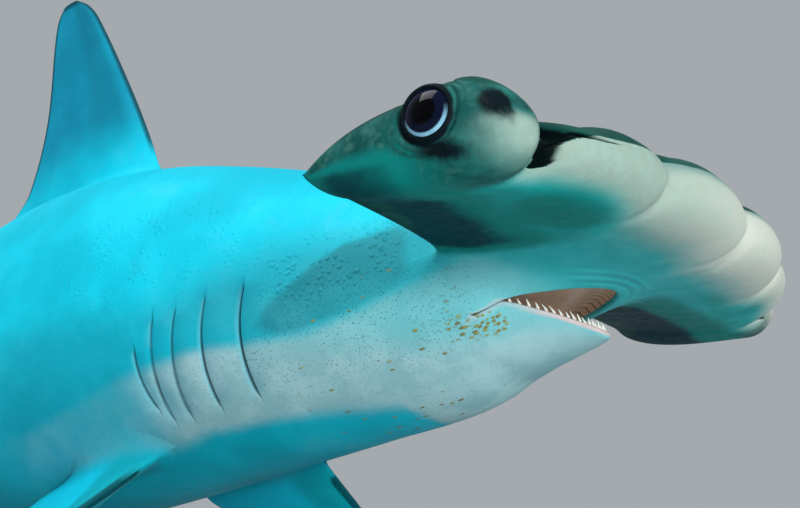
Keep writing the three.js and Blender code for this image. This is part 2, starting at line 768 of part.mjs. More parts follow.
// The nostril slot and the groove that leads inwards from it, on one side
function nostrilGeometries(side) {
  const slot = [];
  const slotSteps = 6;
  for (let i = 0; i <= slotSteps; i += 1) {
    const t = i / slotSteps;
    const s = leadEdge(nostrilOut) - 8 + (nostril.length + 8) * t;
    const r = nostril.radius * Math.sqrt(1 - 0.9 * t * t);
    slot.push(circle(8, (a) => posed(
      s,
      side * (nostrilOut + 0.6 * r * Math.cos(a)),
      nostril.up + r * Math.sin(a),
    )));
  }
  const run = [];
  const runSteps = 10;
  for (let i = 0; i <= runSteps; i += 1) {
    const t = i / runSteps;
    const y = groove.from + (groove.to - groove.from) * t;
    const r = groove.radius * (1 - 0.7 * t);
    run.push(circle(6, (a) => posed(
      leadEdge(y) + 2 + r * Math.cos(a),
      side * y,
      groove.up - groove.fall * t + r * Math.sin(a),
    )));
  }
  return [loft(slot), loft(run)];
}
function circle(count, place) {
  return Array.from({ length: count }, (_, k) => place((2 * Math.PI * k) / count));
}

// The eyeball and its lid, on one side
function eyeGeometry(side, radius) {
  const ball = new THREE.SphereGeometry(radius, 20, 12);
  const centre = posed(eye.at, side * eye.out, eye.up);
  ball.translate(centre.x, centre.y, centre.z);
  return ball;
}
function lidGeometry(side) {
  const ring = new THREE.TorusGeometry(lid.radius, lid.thick, 6, 20);
  const position = ring.getAttribute('position');
  for (let i = 0; i < position.count; i += 1) {
    const out = lid.out + position.getZ(i);
    const p = posed(eye.at + position.getX(i), side * out, eye.up + position.getY(i));
    position.setXYZ(i, p.x, p.y, p.z);
  }
  return ring;
}

// An upright turned piece at a place along the body: a flange on the base, or a rod on its flange
const flangeLow = base.thick + gap;
const rodLow = flangeLow + flange.thick + gap;
function turned(s, profile) {
  const foot = posed(s, 0, 0);
  const lathe = new THREE.LatheGeometry(profile.map(([r, z]) => new THREE.Vector2(r, z)), 20);
  lathe.rotateX(Math.PI / 2);
  lathe.translate(foot.x, foot.y, 0);
  return lathe;
}
function flangeGeometry(s) {
  const top = flangeLow + flange.thick;
  const [outer, inner] = [flange.radius, flange.radius - flange.edge];
  return turned(s, [[0, flangeLow], [outer, flangeLow], [outer, top - flange.edge], [inner, top], [0, top]]);
}
function rodGeometry(s) {
  return turned(s, [[0, rodLow], [rod.radius, rodLow], [rod.radius, spineHeight], [0, spineHeight]]);
}
function baseGeometry() {
  const [x, y, r] = [base.length / 2 - base.bevel, base.width / 2 - base.bevel, base.corner];
  const outline = new THREE.Shape();
  outline.moveTo(-x + r, -y);
  outline.lineTo(x - r, -y);
  outline.absarc(x - r, -y + r, r, -Math.PI / 2, 0);
  outline.absarc(x - r, y - r, r, 0, Math.PI / 2);
  outline.absarc(-x + r, y - r, r, Math.PI / 2, Math.PI);
  outline.absarc(-x + r, -y + r, r, Math.PI, 1.5 * Math.PI);
  const slab = new THREE.ExtrudeGeometry(outline, {
    depth: base.thick - 2 * base.bevel,
    bevelThickness: base.bevel,
    bevelSize: base.bevel,
    bevelSegments: 1,
    curveSegments: 5,
  });
  slab.translate(0, 0, base.bevel);
  return mergeVertices(positionsOnly(slab), 1e-3);
}
function positionsOnly(geometry) {
  const bare = new THREE.BufferGeometry();
  bare.setAttribute('position', geometry.getAttribute('position'));
  return bare;
}

// The parts, put together
const shark = new THREE.Group();
const skinColour = 0x7d949b;
const paleColour = 0xc9d2cf;
const darkColour = 0x4e666d;
function addNode(name, body, colour, roughness = 0.45, metalness = 0) {
  const mesh = largest(body).getMesh();
  const geometry = indexed(Array.from(mesh.vertProperties), Array.from(mesh.triVerts));
  geometry.computeVertexNormals();
  const material = new THREE.MeshStandardMaterial({ color: colour, roughness, metalness });
  const node = new THREE.Mesh(geometry, material);
  node.name = name;
  shark.add(node);
}

// A plane across the body at a place, or beside its middle line, as its normal and its offset
function acrossPlane(s) {
  const normal = posed(s - 1, 0, 0).sub(posed(s, 0, 0)).normalize();
  return { normal, offset: normal.dot(posed(s, 0, 0)) };
}
function besidePlane(y) {
  const normal = posed(100, 1, 0).sub(posed(100, 0, 0)).normalize();
  return { normal, offset: normal.dot(posed(100, y, 0)) };
}
function split(body, plane) {
  const n = plane.normal;
  const front = body.trimByPlane(n.toArray(), plane.offset + gap / 2);
  const rear = body.trimByPlane(n.clone().negate().toArray(), -plane.offset + gap / 2);
  return [front, rear];
}

// Flesh with the mouth, jaw, gills, nostrils and eye sockets cut in and the lids put on
const skin = bodyGeometry();
const jawSkin = jawGeometry();
let flesh = solid(skin);
flesh = flesh.subtract(solid(gapeGeometry())).subtract(grown(jawSkin)).subtract(solid(throatGeometry()));
[1, -1].forEach((side) => {
  gillSlits.forEach((slit) => {
    flesh = flesh.subtract(solid(gillGeometry(slit, side)));
  });
  nostrilGeometries(side).forEach((cut) => {
    flesh = flesh.subtract(solid(cut));
  });
  flesh = flesh.add(solid(lidGeometry(side))).subtract(solid(eyeGeometry(side, eye.radius + gap)));
});

// Head, wings and lengths of the trunk, parted by thin cuts
const trunkCuts = [
  ['gill_section', 410],
  ['trunk_front', 640],
  ['trunk_rear', 1000],
  ['tail_stem', 1440],
];
let rest = flesh;
let name = 'head';
trunkCuts.forEach(([next, at]) => {
  const [front, rear] = split(rest, acrossPlane(at));
  if (name === 'head') {
    const [left, inner] = split(front, besidePlane(128));
    const [middle, right] = split(inner, besidePlane(-128));
    addNode('hammer_wing_left', left, skinColour);
    addNode('hammer_wing_right', right, skinColour);
    addNode('head_middle', middle, skinColour);
  } else {
    addNode(name, front, skinColour);
  }
  rest = rear;
  name = next;
});
addNode(name, rest, skinColour);

// Lower jaw with its teeth
const toothDraw = (k) => 0.5 + 0.5 * Math.sin(12.9 * k + 4.1);
let jawBody = solid(jawSkin);
for (let k = 0; k < tooth.count; k += 1) {
  const share = -1 + (2 * (k + 0.5)) / tooth.count;
  const lean = 0.1 + 0.3 * toothDraw(k);
  const growth = 0.75 + 0.35 * toothDraw(k + 7);
  jawBody = jawBody.add(solid(toothGeometry(share, lean, growth)));
}
addNode('lower_jaw', jawBody, paleColour);

// Eyes, fins and tail
const grownSkin = grown(skin);
addNode('eye_left', solid(eyeGeometry(1, eye.radius)), 0x0d1420, 0.08);
addNode('eye_right', solid(eyeGeometry(-1, eye.radius)), 0x0d1420, 0.08);
Object.entries(fins()).forEach(([finName, f]) => {
  addNode(finName, solid(finGeometry(f)).subtract(grownSkin), darkColour);
});
const lobes = tailLobes();
const tailRoot = grownSkin.add(grown(lobes.upper));
addNode('tail_upper_lobe', solid(lobes.upper).subtract(grownSkin), darkColour);
addNode('tail_lower_lobe', solid(lobes.lower).subtract(tailRoot), darkColour);

// Stand
addNode('stand_base', solid(baseGeometry()), 0x2b2d30, 0.5);
Object.entries(rodPlaces).forEach(([word, s]) => {
  addNode(`stand_flange_${word}`, solid(flangeGeometry(s)), 0x2b2d30, 0.5);
  addNode(`stand_rod_${word}`, solid(rodGeometry(s)).subtract(grownSkin), 0xb8bcc0, 0.3, 1);
});

export default shark;
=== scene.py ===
import math

import bpy
import numpy as np
from mathutils import Matrix, Vector


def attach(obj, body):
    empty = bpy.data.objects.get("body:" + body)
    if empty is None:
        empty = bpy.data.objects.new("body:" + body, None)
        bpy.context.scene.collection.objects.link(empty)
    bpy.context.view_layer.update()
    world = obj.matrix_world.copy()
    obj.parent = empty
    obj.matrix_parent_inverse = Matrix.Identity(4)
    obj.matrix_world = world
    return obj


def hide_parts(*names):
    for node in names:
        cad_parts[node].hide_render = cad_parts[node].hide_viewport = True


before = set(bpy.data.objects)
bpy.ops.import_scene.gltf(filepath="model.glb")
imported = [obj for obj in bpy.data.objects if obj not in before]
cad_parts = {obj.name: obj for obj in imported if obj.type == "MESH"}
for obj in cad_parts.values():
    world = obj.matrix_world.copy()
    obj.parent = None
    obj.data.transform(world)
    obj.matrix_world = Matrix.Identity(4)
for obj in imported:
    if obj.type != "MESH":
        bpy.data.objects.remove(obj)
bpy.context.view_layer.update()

# Camera: low in front of the shark and to its right, looking up at the hammer and the open mouth.
# It stands above the floor, a little rolled, with a normal lens.
view_from = Vector((1.25193, -0.89596, 0.16423))
view_along = Vector((-0.57328, 0.75975, 0.30679)).normalized()
view_roll = math.radians(-2.55)
level_right = view_along.cross(Vector((0, 0, 1))).normalized()
level_up = level_right.cross(view_along)
camera_right = level_right * math.cos(view_roll) + level_up * math.sin(view_roll)
camera_up = camera_right.cross(view_along)
camera_data = bpy.data.cameras.new("camera")
camera_data.lens = 54
camera_data.sensor_width = 36


def into_scene(name, data):
    """A new object of the scene, at the origin"""
    made = bpy.data.objects.new(name, data)
    bpy.context.scene.collection.objects.link(made)
    return made


camera = into_scene("camera", camera_data)
turn = Matrix((camera_right, camera_up, -view_along)).transposed().to_4x4()
camera.matrix_world = Matrix.Translation(view_from) @ turn
bpy.context.scene.camera = camera

# Skin of the shark: one tough hide drawn over head, trunk, jaw and fins, with no seam.
# Its form is worked out on the straight animal, as distance back from the snout (s), out to the
# left (y) and up (z) in millimetres, and then bent into the swimming pose.
# along the trunk: place, height of top and underside, half width, and height of the widest line
trunk_at, trunk_top, trunk_bottom, trunk_half, trunk_widest = np.array([
    [50, 130, 170, 205, 238, 290, 400, 520, 640, 760, 900, 1100, 1320, 1540, 1740, 1900],
    [8, 44, 62, 78, 94, 118, 162, 204, 236, 252, 246, 210, 158, 110, 82, 78],
    [-18, -38, -46, -59, -94, -112, -118, -127, -140, -149, -145, -114, -70, -24, 8, 16],
    [50, 82, 88, 92, 97, 104, 124, 141, 150, 152, 147, 126, 96, 64, 38, 28],
    [-6, -6, -7, -8, -8, -8, 0, 10, 20, 25, 30, 34, 36, 38, 42, 44],
], float)
trunk_end = 1900
neck_start, neck_end, wave_length = 200, 650, 1300
neck_turn, neck_rise, tail_swing = 0.1, 0.1, 0.3
neck_end_at = np.array([270, 0, 460])
hammer_half, hammer_thick, hammer_rear = 324, 33, 224
neck_blend, past_tip = 1e6, 6000
nostril_out, outer_notch = 265, 141
# each notch of the front edge: place out from the middle, depth and width
notches = ((0, 8, 20), (outer_notch, 10, 18), (nostril_out, 16, 12))


def smooth(a, b, x):
    """Smooth step: 0 at a, 1 at b, level at both ends; a may be the larger"""
    t = np.clip((np.asarray(x, float) - a) / (b - a), 0, 1)
    return t * t * (3 - 2 * t)


def hump(x, width):
    """A rounded hump of height one, falling away within about the width on both sides"""
    return np.exp(-((x / width) ** 2))


def plateau(x, middle, half):
    """A flat-topped hump round a middle value"""
    return np.exp(-(((x - middle) / half) ** 4))


def curve_through(at, values, x):
    """Cubic pieces through points, each with the slope between its neighbours"""
    x = np.asarray(x, float)
    last = len(at) - 1
    before = np.maximum(np.arange(last + 1) - 1, 0)
    after = np.minimum(np.arange(last + 1) + 1, last)
    slope = (values[after] - values[before]) / (at[after] - at[before])
    i = np.clip(np.searchsorted(at, x, side="left") - 1, 0, last - 1)
    d = at[i + 1] - at[i]
    t = np.clip((x - at[i]) / d, 0, 1)
    return (
        values[i] * (1 + 2 * t) * (1 - t) ** 2
        + values[i + 1] * t * t * (3 - 2 * t)
        + d * (slope[i] * t * (1 - t) ** 2 - slope[i + 1] * t * t * (1 - t))
    )


def trunk(values, s):
    return curve_through(trunk_at, values, s)


def heading(s):
    """Directions ahead and to the left along the spine: the neck is turned and raised, and the tail
    swings in one wave"""
    neck = 1 - smooth(neck_start, neck_end, s)
    wave = (1 - np.cos(math.pi * np.clip((s - neck_end) / wave_length, 0, 1.6))) / 2
    yaw, pitch = neck_turn * neck - tail_swing * wave, neck_rise * neck
    ahead = np.stack([np.cos(yaw) * np.cos(pitch), np.sin(yaw) * np.cos(pitch), np.sin(pitch)], -1)
    return ahead, np.stack([-np.sin(yaw), np.cos(yaw), 0 * yaw], -1)


spine_s = np.arange(-200, 2801, 10.0)
spine = np.vstack([np.zeros(3), np.cumsum(-10 * heading(spine_s + 5)[0], 0)[:-1]])
spine += neck_end_at - spine[np.searchsorted(spine_s, neck_end)]


def posed(p):
    """Straight points (..., 3) in millimetres bent along the spine, in metres"""
    p = np.asarray(p, float)
    s, y, z = p[..., 0], p[..., 1], p[..., 2]
    centre = np.stack([np.interp(s, spine_s, spine[:, k]) for k in range(3)], -1)
    ahead, left = heading(s)
    up = np.cross(ahead, left)
    return (centre + left * y[..., None] + up * z[..., None]) / 1000


def signed_power(x, p):
    return np.sign(x) * np.abs(x) ** p


def lead_edge(y):
    """Leading edge of the hammer: swept back outwards, with a notch at the middle and two a side"""
    out = np.abs(y)
    s = 2 + 50 * (out / nostril_out) ** 2.2 - 3 * np.sin(math.pi * np.clip(out / outer_notch, 0, 1)) ** 1.5
    for at, depth, width in notches:
        s = s + depth * np.exp(-(np.hypot(out - at, 4) - 4) / width)
    return s


def thickness(s, y):
    """Squared half thickness of trunk and hammer, joined by a soft maximum, and how it lies in height"""
    s, y = np.broadcast_arrays(np.asarray(s, float), np.asarray(y, float))
    out = np.abs(y)
    top, bottom, widest = trunk(trunk_top, s), trunk(trunk_bottom, s), trunk(trunk_widest, s)
    half = np.maximum(20, trunk(trunk_half, s))
    deep = (top - bottom) / 2
    snout = 1 - smooth(trunk_at[0], trunk_at[0] + 50, s)
    body = deep ** 2 * (1 - (y / half) ** 2) - (169 + 0.2324 * y * y) * snout
    body = body - 60 * np.maximum(trunk_at[0] - s, 0)
    lead = lead_edge(y)
    trail = hammer_rear + 22 * (out / hammer_half) ** 2.5
    chord = (s - lead) / (trail - lead)
    tip_share = smooth(250, 305, out)
    nose = 52 - 18 * tip_share
    behind = s - lead - nose
    taper = 1 - signed_power(behind / (trail - lead - nose), 1.5 + 1.5 * tip_share)
    foil = np.where(behind < 0, 1 - (behind / nose) ** 2, signed_power(taper, 1.5 - 0.5 * tip_share))
    tip_out = hammer_half - 17 * np.clip((s - 115) / 115, -1, 1.2) ** 2
    tip = 1 - (out / tip_out) ** 32
    wing = (hammer_thick * (1 + 0.16 * tip_share)) ** 2 * foil * np.maximum(tip, 0)
    wing = wing - past_tip * np.maximum(-tip, 0)
    wing_over = 1 - 0.42 * smooth(185, 228, out) * (1 - smooth(256, 285, out))
    wing_over = wing_over - 0.26 * smooth(272, 300, out) * smooth(90, 160, s)
    wing_over = wing_over + 0.2 * smooth(15, 55, out) * (1 - smooth(75, 115, out))
    spread = np.sqrt((body - wing) ** 2 + neck_blend)
    share = 0.5 * (1 + (body - wing) / spread)
    droop = 15 * (out / hammer_half) ** 2 - 16 * (1 - np.clip(chord, 0, 1)) ** 2
    return {
        "square": 0.5 * (body + wing + spread),
        "middle": share * widest + (1 - share) * droop,
        "over": share * (top - widest) / deep + (1 - share) * wing_over,
        "under": share * (widest - bottom) / deep + 1 - share,
    }


def heights(s, y):
    """Height of the skin over and under a point of the plan"""
    t = thickness(s, y)
    half = np.sqrt(np.maximum(0, t["square"]))
    return t["middle"] + half * t["over"], t["middle"] - half * t["under"]


def depth_inside(p):
    """Above nought inside the body and below it outside, for straight points"""
    t = thickness(p[..., 0], p[..., 1])
    z = p[..., 2] - t["middle"]
    return t["square"] * np.where(z > 0, t["over"], t["under"]) ** 2 - z * z


def crossing(value, inside, outside):
    """Halving between an inner and an outer place, as arrays, to where the value falls to nought"""
    inside, outside = np.array(inside, float), np.array(outside, float)
    for _ in range(44):
        middle = (inside + outside) / 2
        within = value(middle) > 0
        inside = np.where(within, middle, inside)
        outside = np.where(within, outside, middle)
    return inside


def front_rim(y):
    y = np.minimum(y, 318)
    return crossing(lambda s: thickness(s, y)["square"], lead_edge(y) + 30, lead_edge(y) - 30)


def rear_rim(y):
    y = np.minimum(y, 300)
    return crossing(lambda s: thickness(s, y)["square"], 190 + 0 * y, 420 + 0 * y)


def tip_rim(s):
    return crossing(lambda y: thickness(s, y)["square"], 240 + 0 * s, 345 + 0 * s)


def side_rim(s):
    return crossing(lambda y: thickness(s, y)["square"], 0 * s, 200 + 0 * s)


# the corner of the plan where the hammer's rear edge meets the side of the neck
corner_y = np.arange(150, 100, -0.05)
corner_s = rear_rim(corner_y)
corner = np.argmax(np.diff(corner_s) > 0.05)
neck_y, neck_s = corner_y[corner], corner_s[corner]

# shares of the chord, fine round the nose and at the thin rear edge
nose_turn = np.linspace(0, math.pi / 2, 43)
chord_rest = np.linspace(0, 1, 28)[1:]
chord_shares = np.concatenate([0.23 * (1 - np.cos(nose_turn)), 0.23 + 0.77 * (1 - (1 - chord_rest) ** 1.5)])

# places across the wing, fine at the outer notch, at the nostril and round the blunt tip
run = np.linspace(neck_y, 288, 3000)
per_mm = 0.25 + 0.25 * hump(run - outer_notch, 10) + 0.75 * plateau(run, 262, 17) + 0.25 * hump(run - 232, 16)
count = np.concatenate([[0], np.cumsum((per_mm[1:] + per_mm[:-1]) / 2 * np.diff(run))])
wing_flat = np.interp(np.linspace(0, count[-1], int(count[-1]) + 1), count, run)
tip_turn = np.linspace(math.asin((288 / hammer_half) ** 16), math.pi / 2, 23)[1:]
wing_out = np.concatenate([wing_flat, hammer_half * np.sin(tip_turn) ** (1 / 16)])
wing_share = (wing_out - neck_y) / (hammer_half - neck_y)

# each row ends on the outline of the tip, and its columns share the way there
tip_y = 318 + 0 * chord_shares
for _ in range(8):
    tip_s = front_rim(tip_y) + (rear_rim(tip_y) - front_rim(tip_y)) * chord_shares
    tip_y = tip_rim(tip_s)
wing_y = neck_y + (tip_y[:, None] - neck_y) * wing_share
wing_front, wing_rear = front_rim(wing_y), rear_rim(wing_y)
wing_s = wing_front + (wing_rear - wing_front) * chord_shares[:, None]


def sheet(s, y, *closed):
    """Upper and lower skin over a grid of the plan, joined at the middle height where it is closed"""
    over, under = heights(s, y)
    for at in closed:
        over[at] = under[at] = thickness(s, y)["middle"][at]
    return np.stack([s, y, over], -1), np.stack([s, y, under], -1)


wing_over, wing_under = sheet(wing_s, wing_y, 0, -1, np.s_[:, -1])

# upper side of the head between the wings
across = np.linspace(0, 1, 35)
head_share = 1 - (1 - across) ** 1.6
head_y = neck_y * head_share + 0 * chord_shares[:, None]
head_front = front_rim(neck_y * head_share)
head_s = head_front + (neck_s - head_front) * chord_shares[:, None]
head_over = sheet(head_s, head_y, 0, (-1, -1))[0]

# the five gill slits of each side: bowed lines on the flank, closed at both ends, by the place and
# height of their upper and lower ends
slit_top, slit_bottom, slit_top_up, slit_bottom_up = np.array([
    [438, 480, 515, 543, 569],
    [448, 492, 528, 549, 561],
    [28, 25, 18, 15, -13],
    [-78, -81, -84, -84, -72],
], float)
slit_rows = np.array([-10, -6, -3, -1.3, -0.4, 0.4, 1.2, 2.5, 4.5, 8.0])


def slit_share(k, z):
    return (slit_top_up[k] - z) / (slit_top_up[k] - slit_bottom_up[k])


def slit_shift(k, z):
    """How far slit k bows back from its upper end at a height"""
    t = np.clip(slit_share(k, z), 0, 1)
    return (slit_bottom[k] - slit_top[k]) * t + 3 * 4 * t * (1 - t)


def follow_slits(s, z):
    """Rows between the slits lean and bow as the slits do"""
    knots = np.concatenate([[395], slit_top, [615]])
    shifts = [0 * z] + [slit_shift(k, z) for k in range(5)] + [0 * z]
    moved = s.copy()
    for k in range(6):
        share = (s - knots[k]) / (knots[k + 1] - knots[k])
        between = (share >= 0) & (share < 1)
        moved = np.where(between, s + shifts[k] * (1 - share) + shifts[k + 1] * share, moved)
    return moved


gill_rows = np.concatenate([at + slit_rows for at in slit_top])
gill_rows = np.concatenate([gill_rows, [459, 497.5, 529]])
trunk_rows = np.unique(np.concatenate([
    neck_s + np.array([2, 4.5, 8, 12.5, 18, 24]),
    np.arange(neck_s + 31, 425, 7),
    gill_rows,
    np.arange(582, 700, 8),
    np.arange(700, trunk_end + 1, 12.0),
]))
trunk_rows = trunk_rows[np.concatenate([[True], np.diff(trunk_rows) > 0.3])]


def trunk_sheet(first, shares, side):
    """Rows of skin round the trunk, from a first row to a point at its end: shares of its half width,
    spread to even arcs behind the neck"""
    rows = trunk_rows[:, None] + 0 * shares
    arc = np.sin(math.pi / 2 * np.linspace(0, 1, len(shares)))
    blend = smooth(neck_s, neck_s + 70, rows)
    spread = shares * (1 - blend) + arc * blend
    s, rim = rows, side_rim(rows)
    for _ in range(2):
        z = heights(s, rim * spread)[side]
        z[:, -1] = thickness(s, rim * spread)["middle"][:, -1]
        s = follow_slits(rows, z)
        rim = side_rim(s)
    end = np.broadcast_to([trunk_end + 4, 0, trunk_widest[-1]], first[None].shape)
    return np.concatenate([first[None], sheet(s, rim * spread, np.s_[:, -1])[side], end])


trunk_over = trunk_sheet(head_over[-1], head_share, 0)

# Mouth: an arch under the head. The upper lip stays with the head and the jaw hangs open below it.
mouth_front, mouth_back, mouth_half = 131, 234, 83.5
mouth_deep = mouth_back - mouth_front
jaw_front = 147


def arch(t, front):
    """A parabola open to the rear: half width grows evenly with t, and s with its square"""
    t = np.asarray(t, float)
    return front + (mouth_back - front) * t * t, mouth_half * t


edge_s = np.concatenate([head_s[0], wing_s[1:, 0]])
edge_y = np.concatenate([head_y[0], wing_y[1:, 0]])
edge_run = np.concatenate([[0], np.cumsum(np.hypot(np.diff(edge_s), np.diff(edge_y)))])
lip_t = (edge_run / edge_run[-1]) ** 0.9
lip_s, lip_y = arch(lip_t, mouth_front)
low_s, low_y = arch(lip_t, jaw_front)
lip_z = heights(lip_s, lip_y)[1]
gape, gape_end = 31.5, 0.85
low_z = lip_z - gape * np.maximum(0, 1 - (lip_t / gape_end) ** 2)
out_s, out_y = -mouth_half, 2 * mouth_deep * lip_t
out_s, out_y = out_s / np.hypot(out_s, out_y), out_y / np.hypot(out_s, out_y)

# underside of the head from the upper lip out to the leading edge and to the wings
radial = np.linspace(0, 1, 31) ** 1.35
at_front = 1 - smooth(len(across) - 2, len(across) + 8, np.arange(len(lip_t)))
at_rear = smooth(len(lip_t) - 12, len(lip_t) - 1, np.arange(len(lip_t)))
power = 1 + at_front + 0.6 * at_rear
ray = 1 - (1 - radial) ** power[:, None]
cheek_s = lip_s[:, None] + (edge_s - lip_s)[:, None] * ray
cheek_y = lip_y[:, None] + (edge_y - lip_y)[:, None] * ray
cheek = sheet(cheek_s, cheek_y, np.s_[:len(across), -1], (-1, -1))[1]
cheek[:, -1][len(across):-1] = wing_under[1:-1, 0]

# upper lip, rolled inwards, and the edge where the lining of the mouth begins
upper_roll, lower_roll = 3.2, 2.8
turns = np.radians([20, 45, 70, 95, 120])


def rolled(s, y, z, inwards, up):
    """Rows of a lip that rolls inwards from its edge and up, closed at the middle line"""
    lip = [s[:, None] - out_s[:, None] * inwards, y[:, None] - out_y[:, None] * inwards, z[:, None] + up]
    lip = np.stack(lip, -1)
    lip[..., 1] = np.maximum(lip[..., 1], 0)
    lip[0, :, 1] = 0
    return lip


upper_lip = rolled(lip_s, lip_y, lip_z, upper_roll * np.sin(turns), upper_roll * (1 - np.cos(turns)))
cheek = np.concatenate([upper_lip[:, ::-1], cheek], 1)

# jaw: rows across it from the middle line out to its lip, which is rolled over to the inside
jaw_share = 1 - (1 - np.linspace(0, 1, 19)) ** 1.3
jaw_deep = 72 + 14.5 * (low_s - jaw_front) / (mouth_back - jaw_front)
lip_low = low_z - lower_roll
lip_share = np.clip((-8 - lip_low) / jaw_deep, 0.05, 0.98)
jaw_y = low_y[:, None] * jaw_share
jaw_z = -8 - jaw_deep[:, None] * np.sqrt(1 - (1 - lip_share[:, None] ** 2) * jaw_share ** 2)
jaw = np.stack([low_s[:, None] + 0 * jaw_y, jaw_y, jaw_z], -1)
over_turn = np.radians([35, 70, 105, 140, 175])
inwards, up = lower_roll * (1 - np.cos(over_turn)), lower_roll * np.sin(over_turn)
lower_lip = rolled(low_s, low_y, lip_low, inwards, up)
jaw = np.concatenate([jaw, lower_lip], 1)

# underside of the trunk, from the jaw and the cheeks back
throat_row = np.concatenate([jaw[-1, :19], cheek[-1, len(turns) + 1:]])
throat_share = np.concatenate([mouth_half * jaw_share, cheek[-1, len(turns) + 1:, 1]]) / neck_y
trunk_under = trunk_sheet(throat_row, throat_share, 1)

patches = [(head_over, 1), (trunk_over, 1), (wing_over, 1)]
patches += [(cheek, -1), (jaw, -1), (trunk_under, -1), (wing_under, -1)]


def grid_quads(rows, columns, first=0, flip=False):
    """Corner numbers of every cell of a grid whose points are numbered row by row"""
    a = first + np.arange(rows - 1)[:, None] * columns + np.arange(columns - 1)
    quads = np.stack([a, a + columns, a + columns + 1, a + 1], -1).reshape(-1, 4)
    return quads[:, ::-1] if flip else quads


def weld(points, quads):
    """Points that lie at one place become one, and cells that fall together are dropped; the last
    result is the number of each point that is kept"""
    key = np.round(points / 0.02 + 0.137).astype(np.int64)
    first, back = np.unique(key, axis=0, return_index=True, return_inverse=True)[1:]
    quads = back.reshape(-1)[quads]
    fresh = quads != np.roll(quads, 1, 1)
    return points[first], quads[fresh.sum(1) > 2], first


def squares(points, quads):
    """A vector square to each cell: the cross product of its diagonals"""
    return np.cross(points[quads[:, 2]] - points[quads[:, 0]], points[quads[:, 3]] - points[quads[:, 1]])


def normals(points, quads):
    """Direction square to the skin at each point, from the cells around it"""
    square, total = squares(points, quads), np.zeros_like(points)
    for k in range(4):
        np.add.at(total, quads[:, k], square)
    return total / np.maximum(1e-9, np.linalg.norm(total, axis=1, keepdims=True))


# in straight points a cell runs anticlockwise seen from outside; bending it mirrors that again
points, quads, total = [], [], 0
for grid, up in patches:
    for side in (1, -1):
        points.append((grid * [1, side, 1]).reshape(-1, 3))
        quads.append(grid_quads(*grid.shape[:2], total, flip=up * side < 0))
        total += len(points[-1])
body, body_quads, _ = weld(np.concatenate(points), np.concatenate(quads))
body_out = normals(body, body_quads)


# Relief of the hide: the gill flaps and the creases behind the notches lie along its own normal. The
# nostrils, the grooves that lead to them and the eye sockets are pushed straight in.
def gill_relief(p):
    """Behind each slit the skin lies deep and rises again towards the next, like roof tiles; it also gives
    the painted shade in each slit, and painted shade and highlight on the flaps
    """
    depth, forward, dark, flap = np.zeros((4, len(p)))
    z = p[:, 2]
    for k in range(5):
        behind = p[:, 0] - slit_top[k] - slit_shift(k, z)
        along = slit_share(k, z)
        close = smooth(-0.02, 0.1, along) * (1 - smooth(0.9, 1.02, along))
        fall = np.interp(behind, [-0.5, 0.3, 1.3, 2.6, 4.6, 8.2, 24], [0, 8.5, 8.5, 4.6, 2.8, 1.8, 0])
        depth -= close * fall
        forward += close * np.interp(behind, [-0.5, 0.3, 1.3, 2.6, 4.6], [0, 3.2, 3.2, 1.2, 0])
        dark += close * np.interp(behind, [-1.0, -0.4, 2.2, 3.8], [0, 1, 1, 0])
        flap += close * np.interp(behind, [-30, -6, -1.2, -0.4, 4, 9], [0, 0.6, 0.8, 0, -0.5, 0])
    return depth, forward, dark, flap


def crease_relief(p, out):
    """Creases that run back from the notches under the head and fade away"""
    side_y = np.abs(p[:, 1])
    behind = p[:, 0] - lead_edge(side_y)
    fading = smooth(0.1, -0.5, out[:, 2]) * np.exp(-np.maximum(behind, 0) / 26) * (p[:, 0] < 200)
    return -4.6 * fading * sum(hump(side_y - at - 0.22 * behind, 6) for at, _, _ in notches)


slit_deep, slit_pull, slit_dark, slit_flap = gill_relief(body)
body = body + body_out * (slit_deep + crease_relief(body, body_out))[:, None]
body[:, 0] -= slit_pull

# nostrils: a pocket pushed straight back from the leading edge, open between two lobes, with a small
# flap over it, and a narrow groove that leads to it along the edge from the inner side
side_y, up, before = np.abs(body[:, 1]), body[:, 2], body[:, 0].copy()
inner_lip = np.interp(up, [-24, -22.5, -19.5, -14, -10, -8.5, -7, -4, -1, 2, 5, 9],
    [257, 256, 257, 256.5, 254.5, 251, 247, 248, 252, 259, 263, 267])
pocket = smooth(inner_lip - 1, inner_lip + 1.4, side_y) * (1 - smooth(275, 279, side_y))
pocket *= smooth(-25.5, -22.5, up) * (1 - smooth(8, 12, up)) * (body[:, 0] < lead_edge(side_y) + 26)
flap_line = up + 6 - 0.25 * (264 - side_y)
nose_flap = smooth(257, 260, side_y) * (1 - smooth(268, 272, side_y)) * hump(flap_line, 3)
groove_up = -4.5 - 2.5 * smooth(250, 225, side_y)
groove_half = 1 + 1.5 * smooth(228, 254, side_y)
groove = smooth(205, 240, side_y) * (1 - smooth(254, 259, side_y)) * plateau(up, groove_up, groove_half)
groove *= body[:, 0] < lead_edge(side_y) + 16
pocket_deep, groove_deep = 21, 7
pushed = pocket_deep * pocket * (1 - 0.6 * nose_flap) + groove_deep * groove * (1 - pocket)
body[:, 0] += pushed
front_gap = lead_edge(side_y) - before
# how far inside the opening of each nostril and its groove, where shade is painted
nose_gap = np.minimum.reduce([side_y - inner_lip + 0.6, 278 - side_y, up + 24, 10.5 - up, 26 + front_gap])
beside_groove = groove_half * smooth(205, 235, side_y) - np.abs(up - groove_up)
groove_gap = np.minimum.reduce([beside_groove, 258 - side_y, 16 + front_gap])
nose_gap = np.clip(np.maximum(nose_gap, groove_gap), -9, 9)
nose_flap = nose_flap * pocket


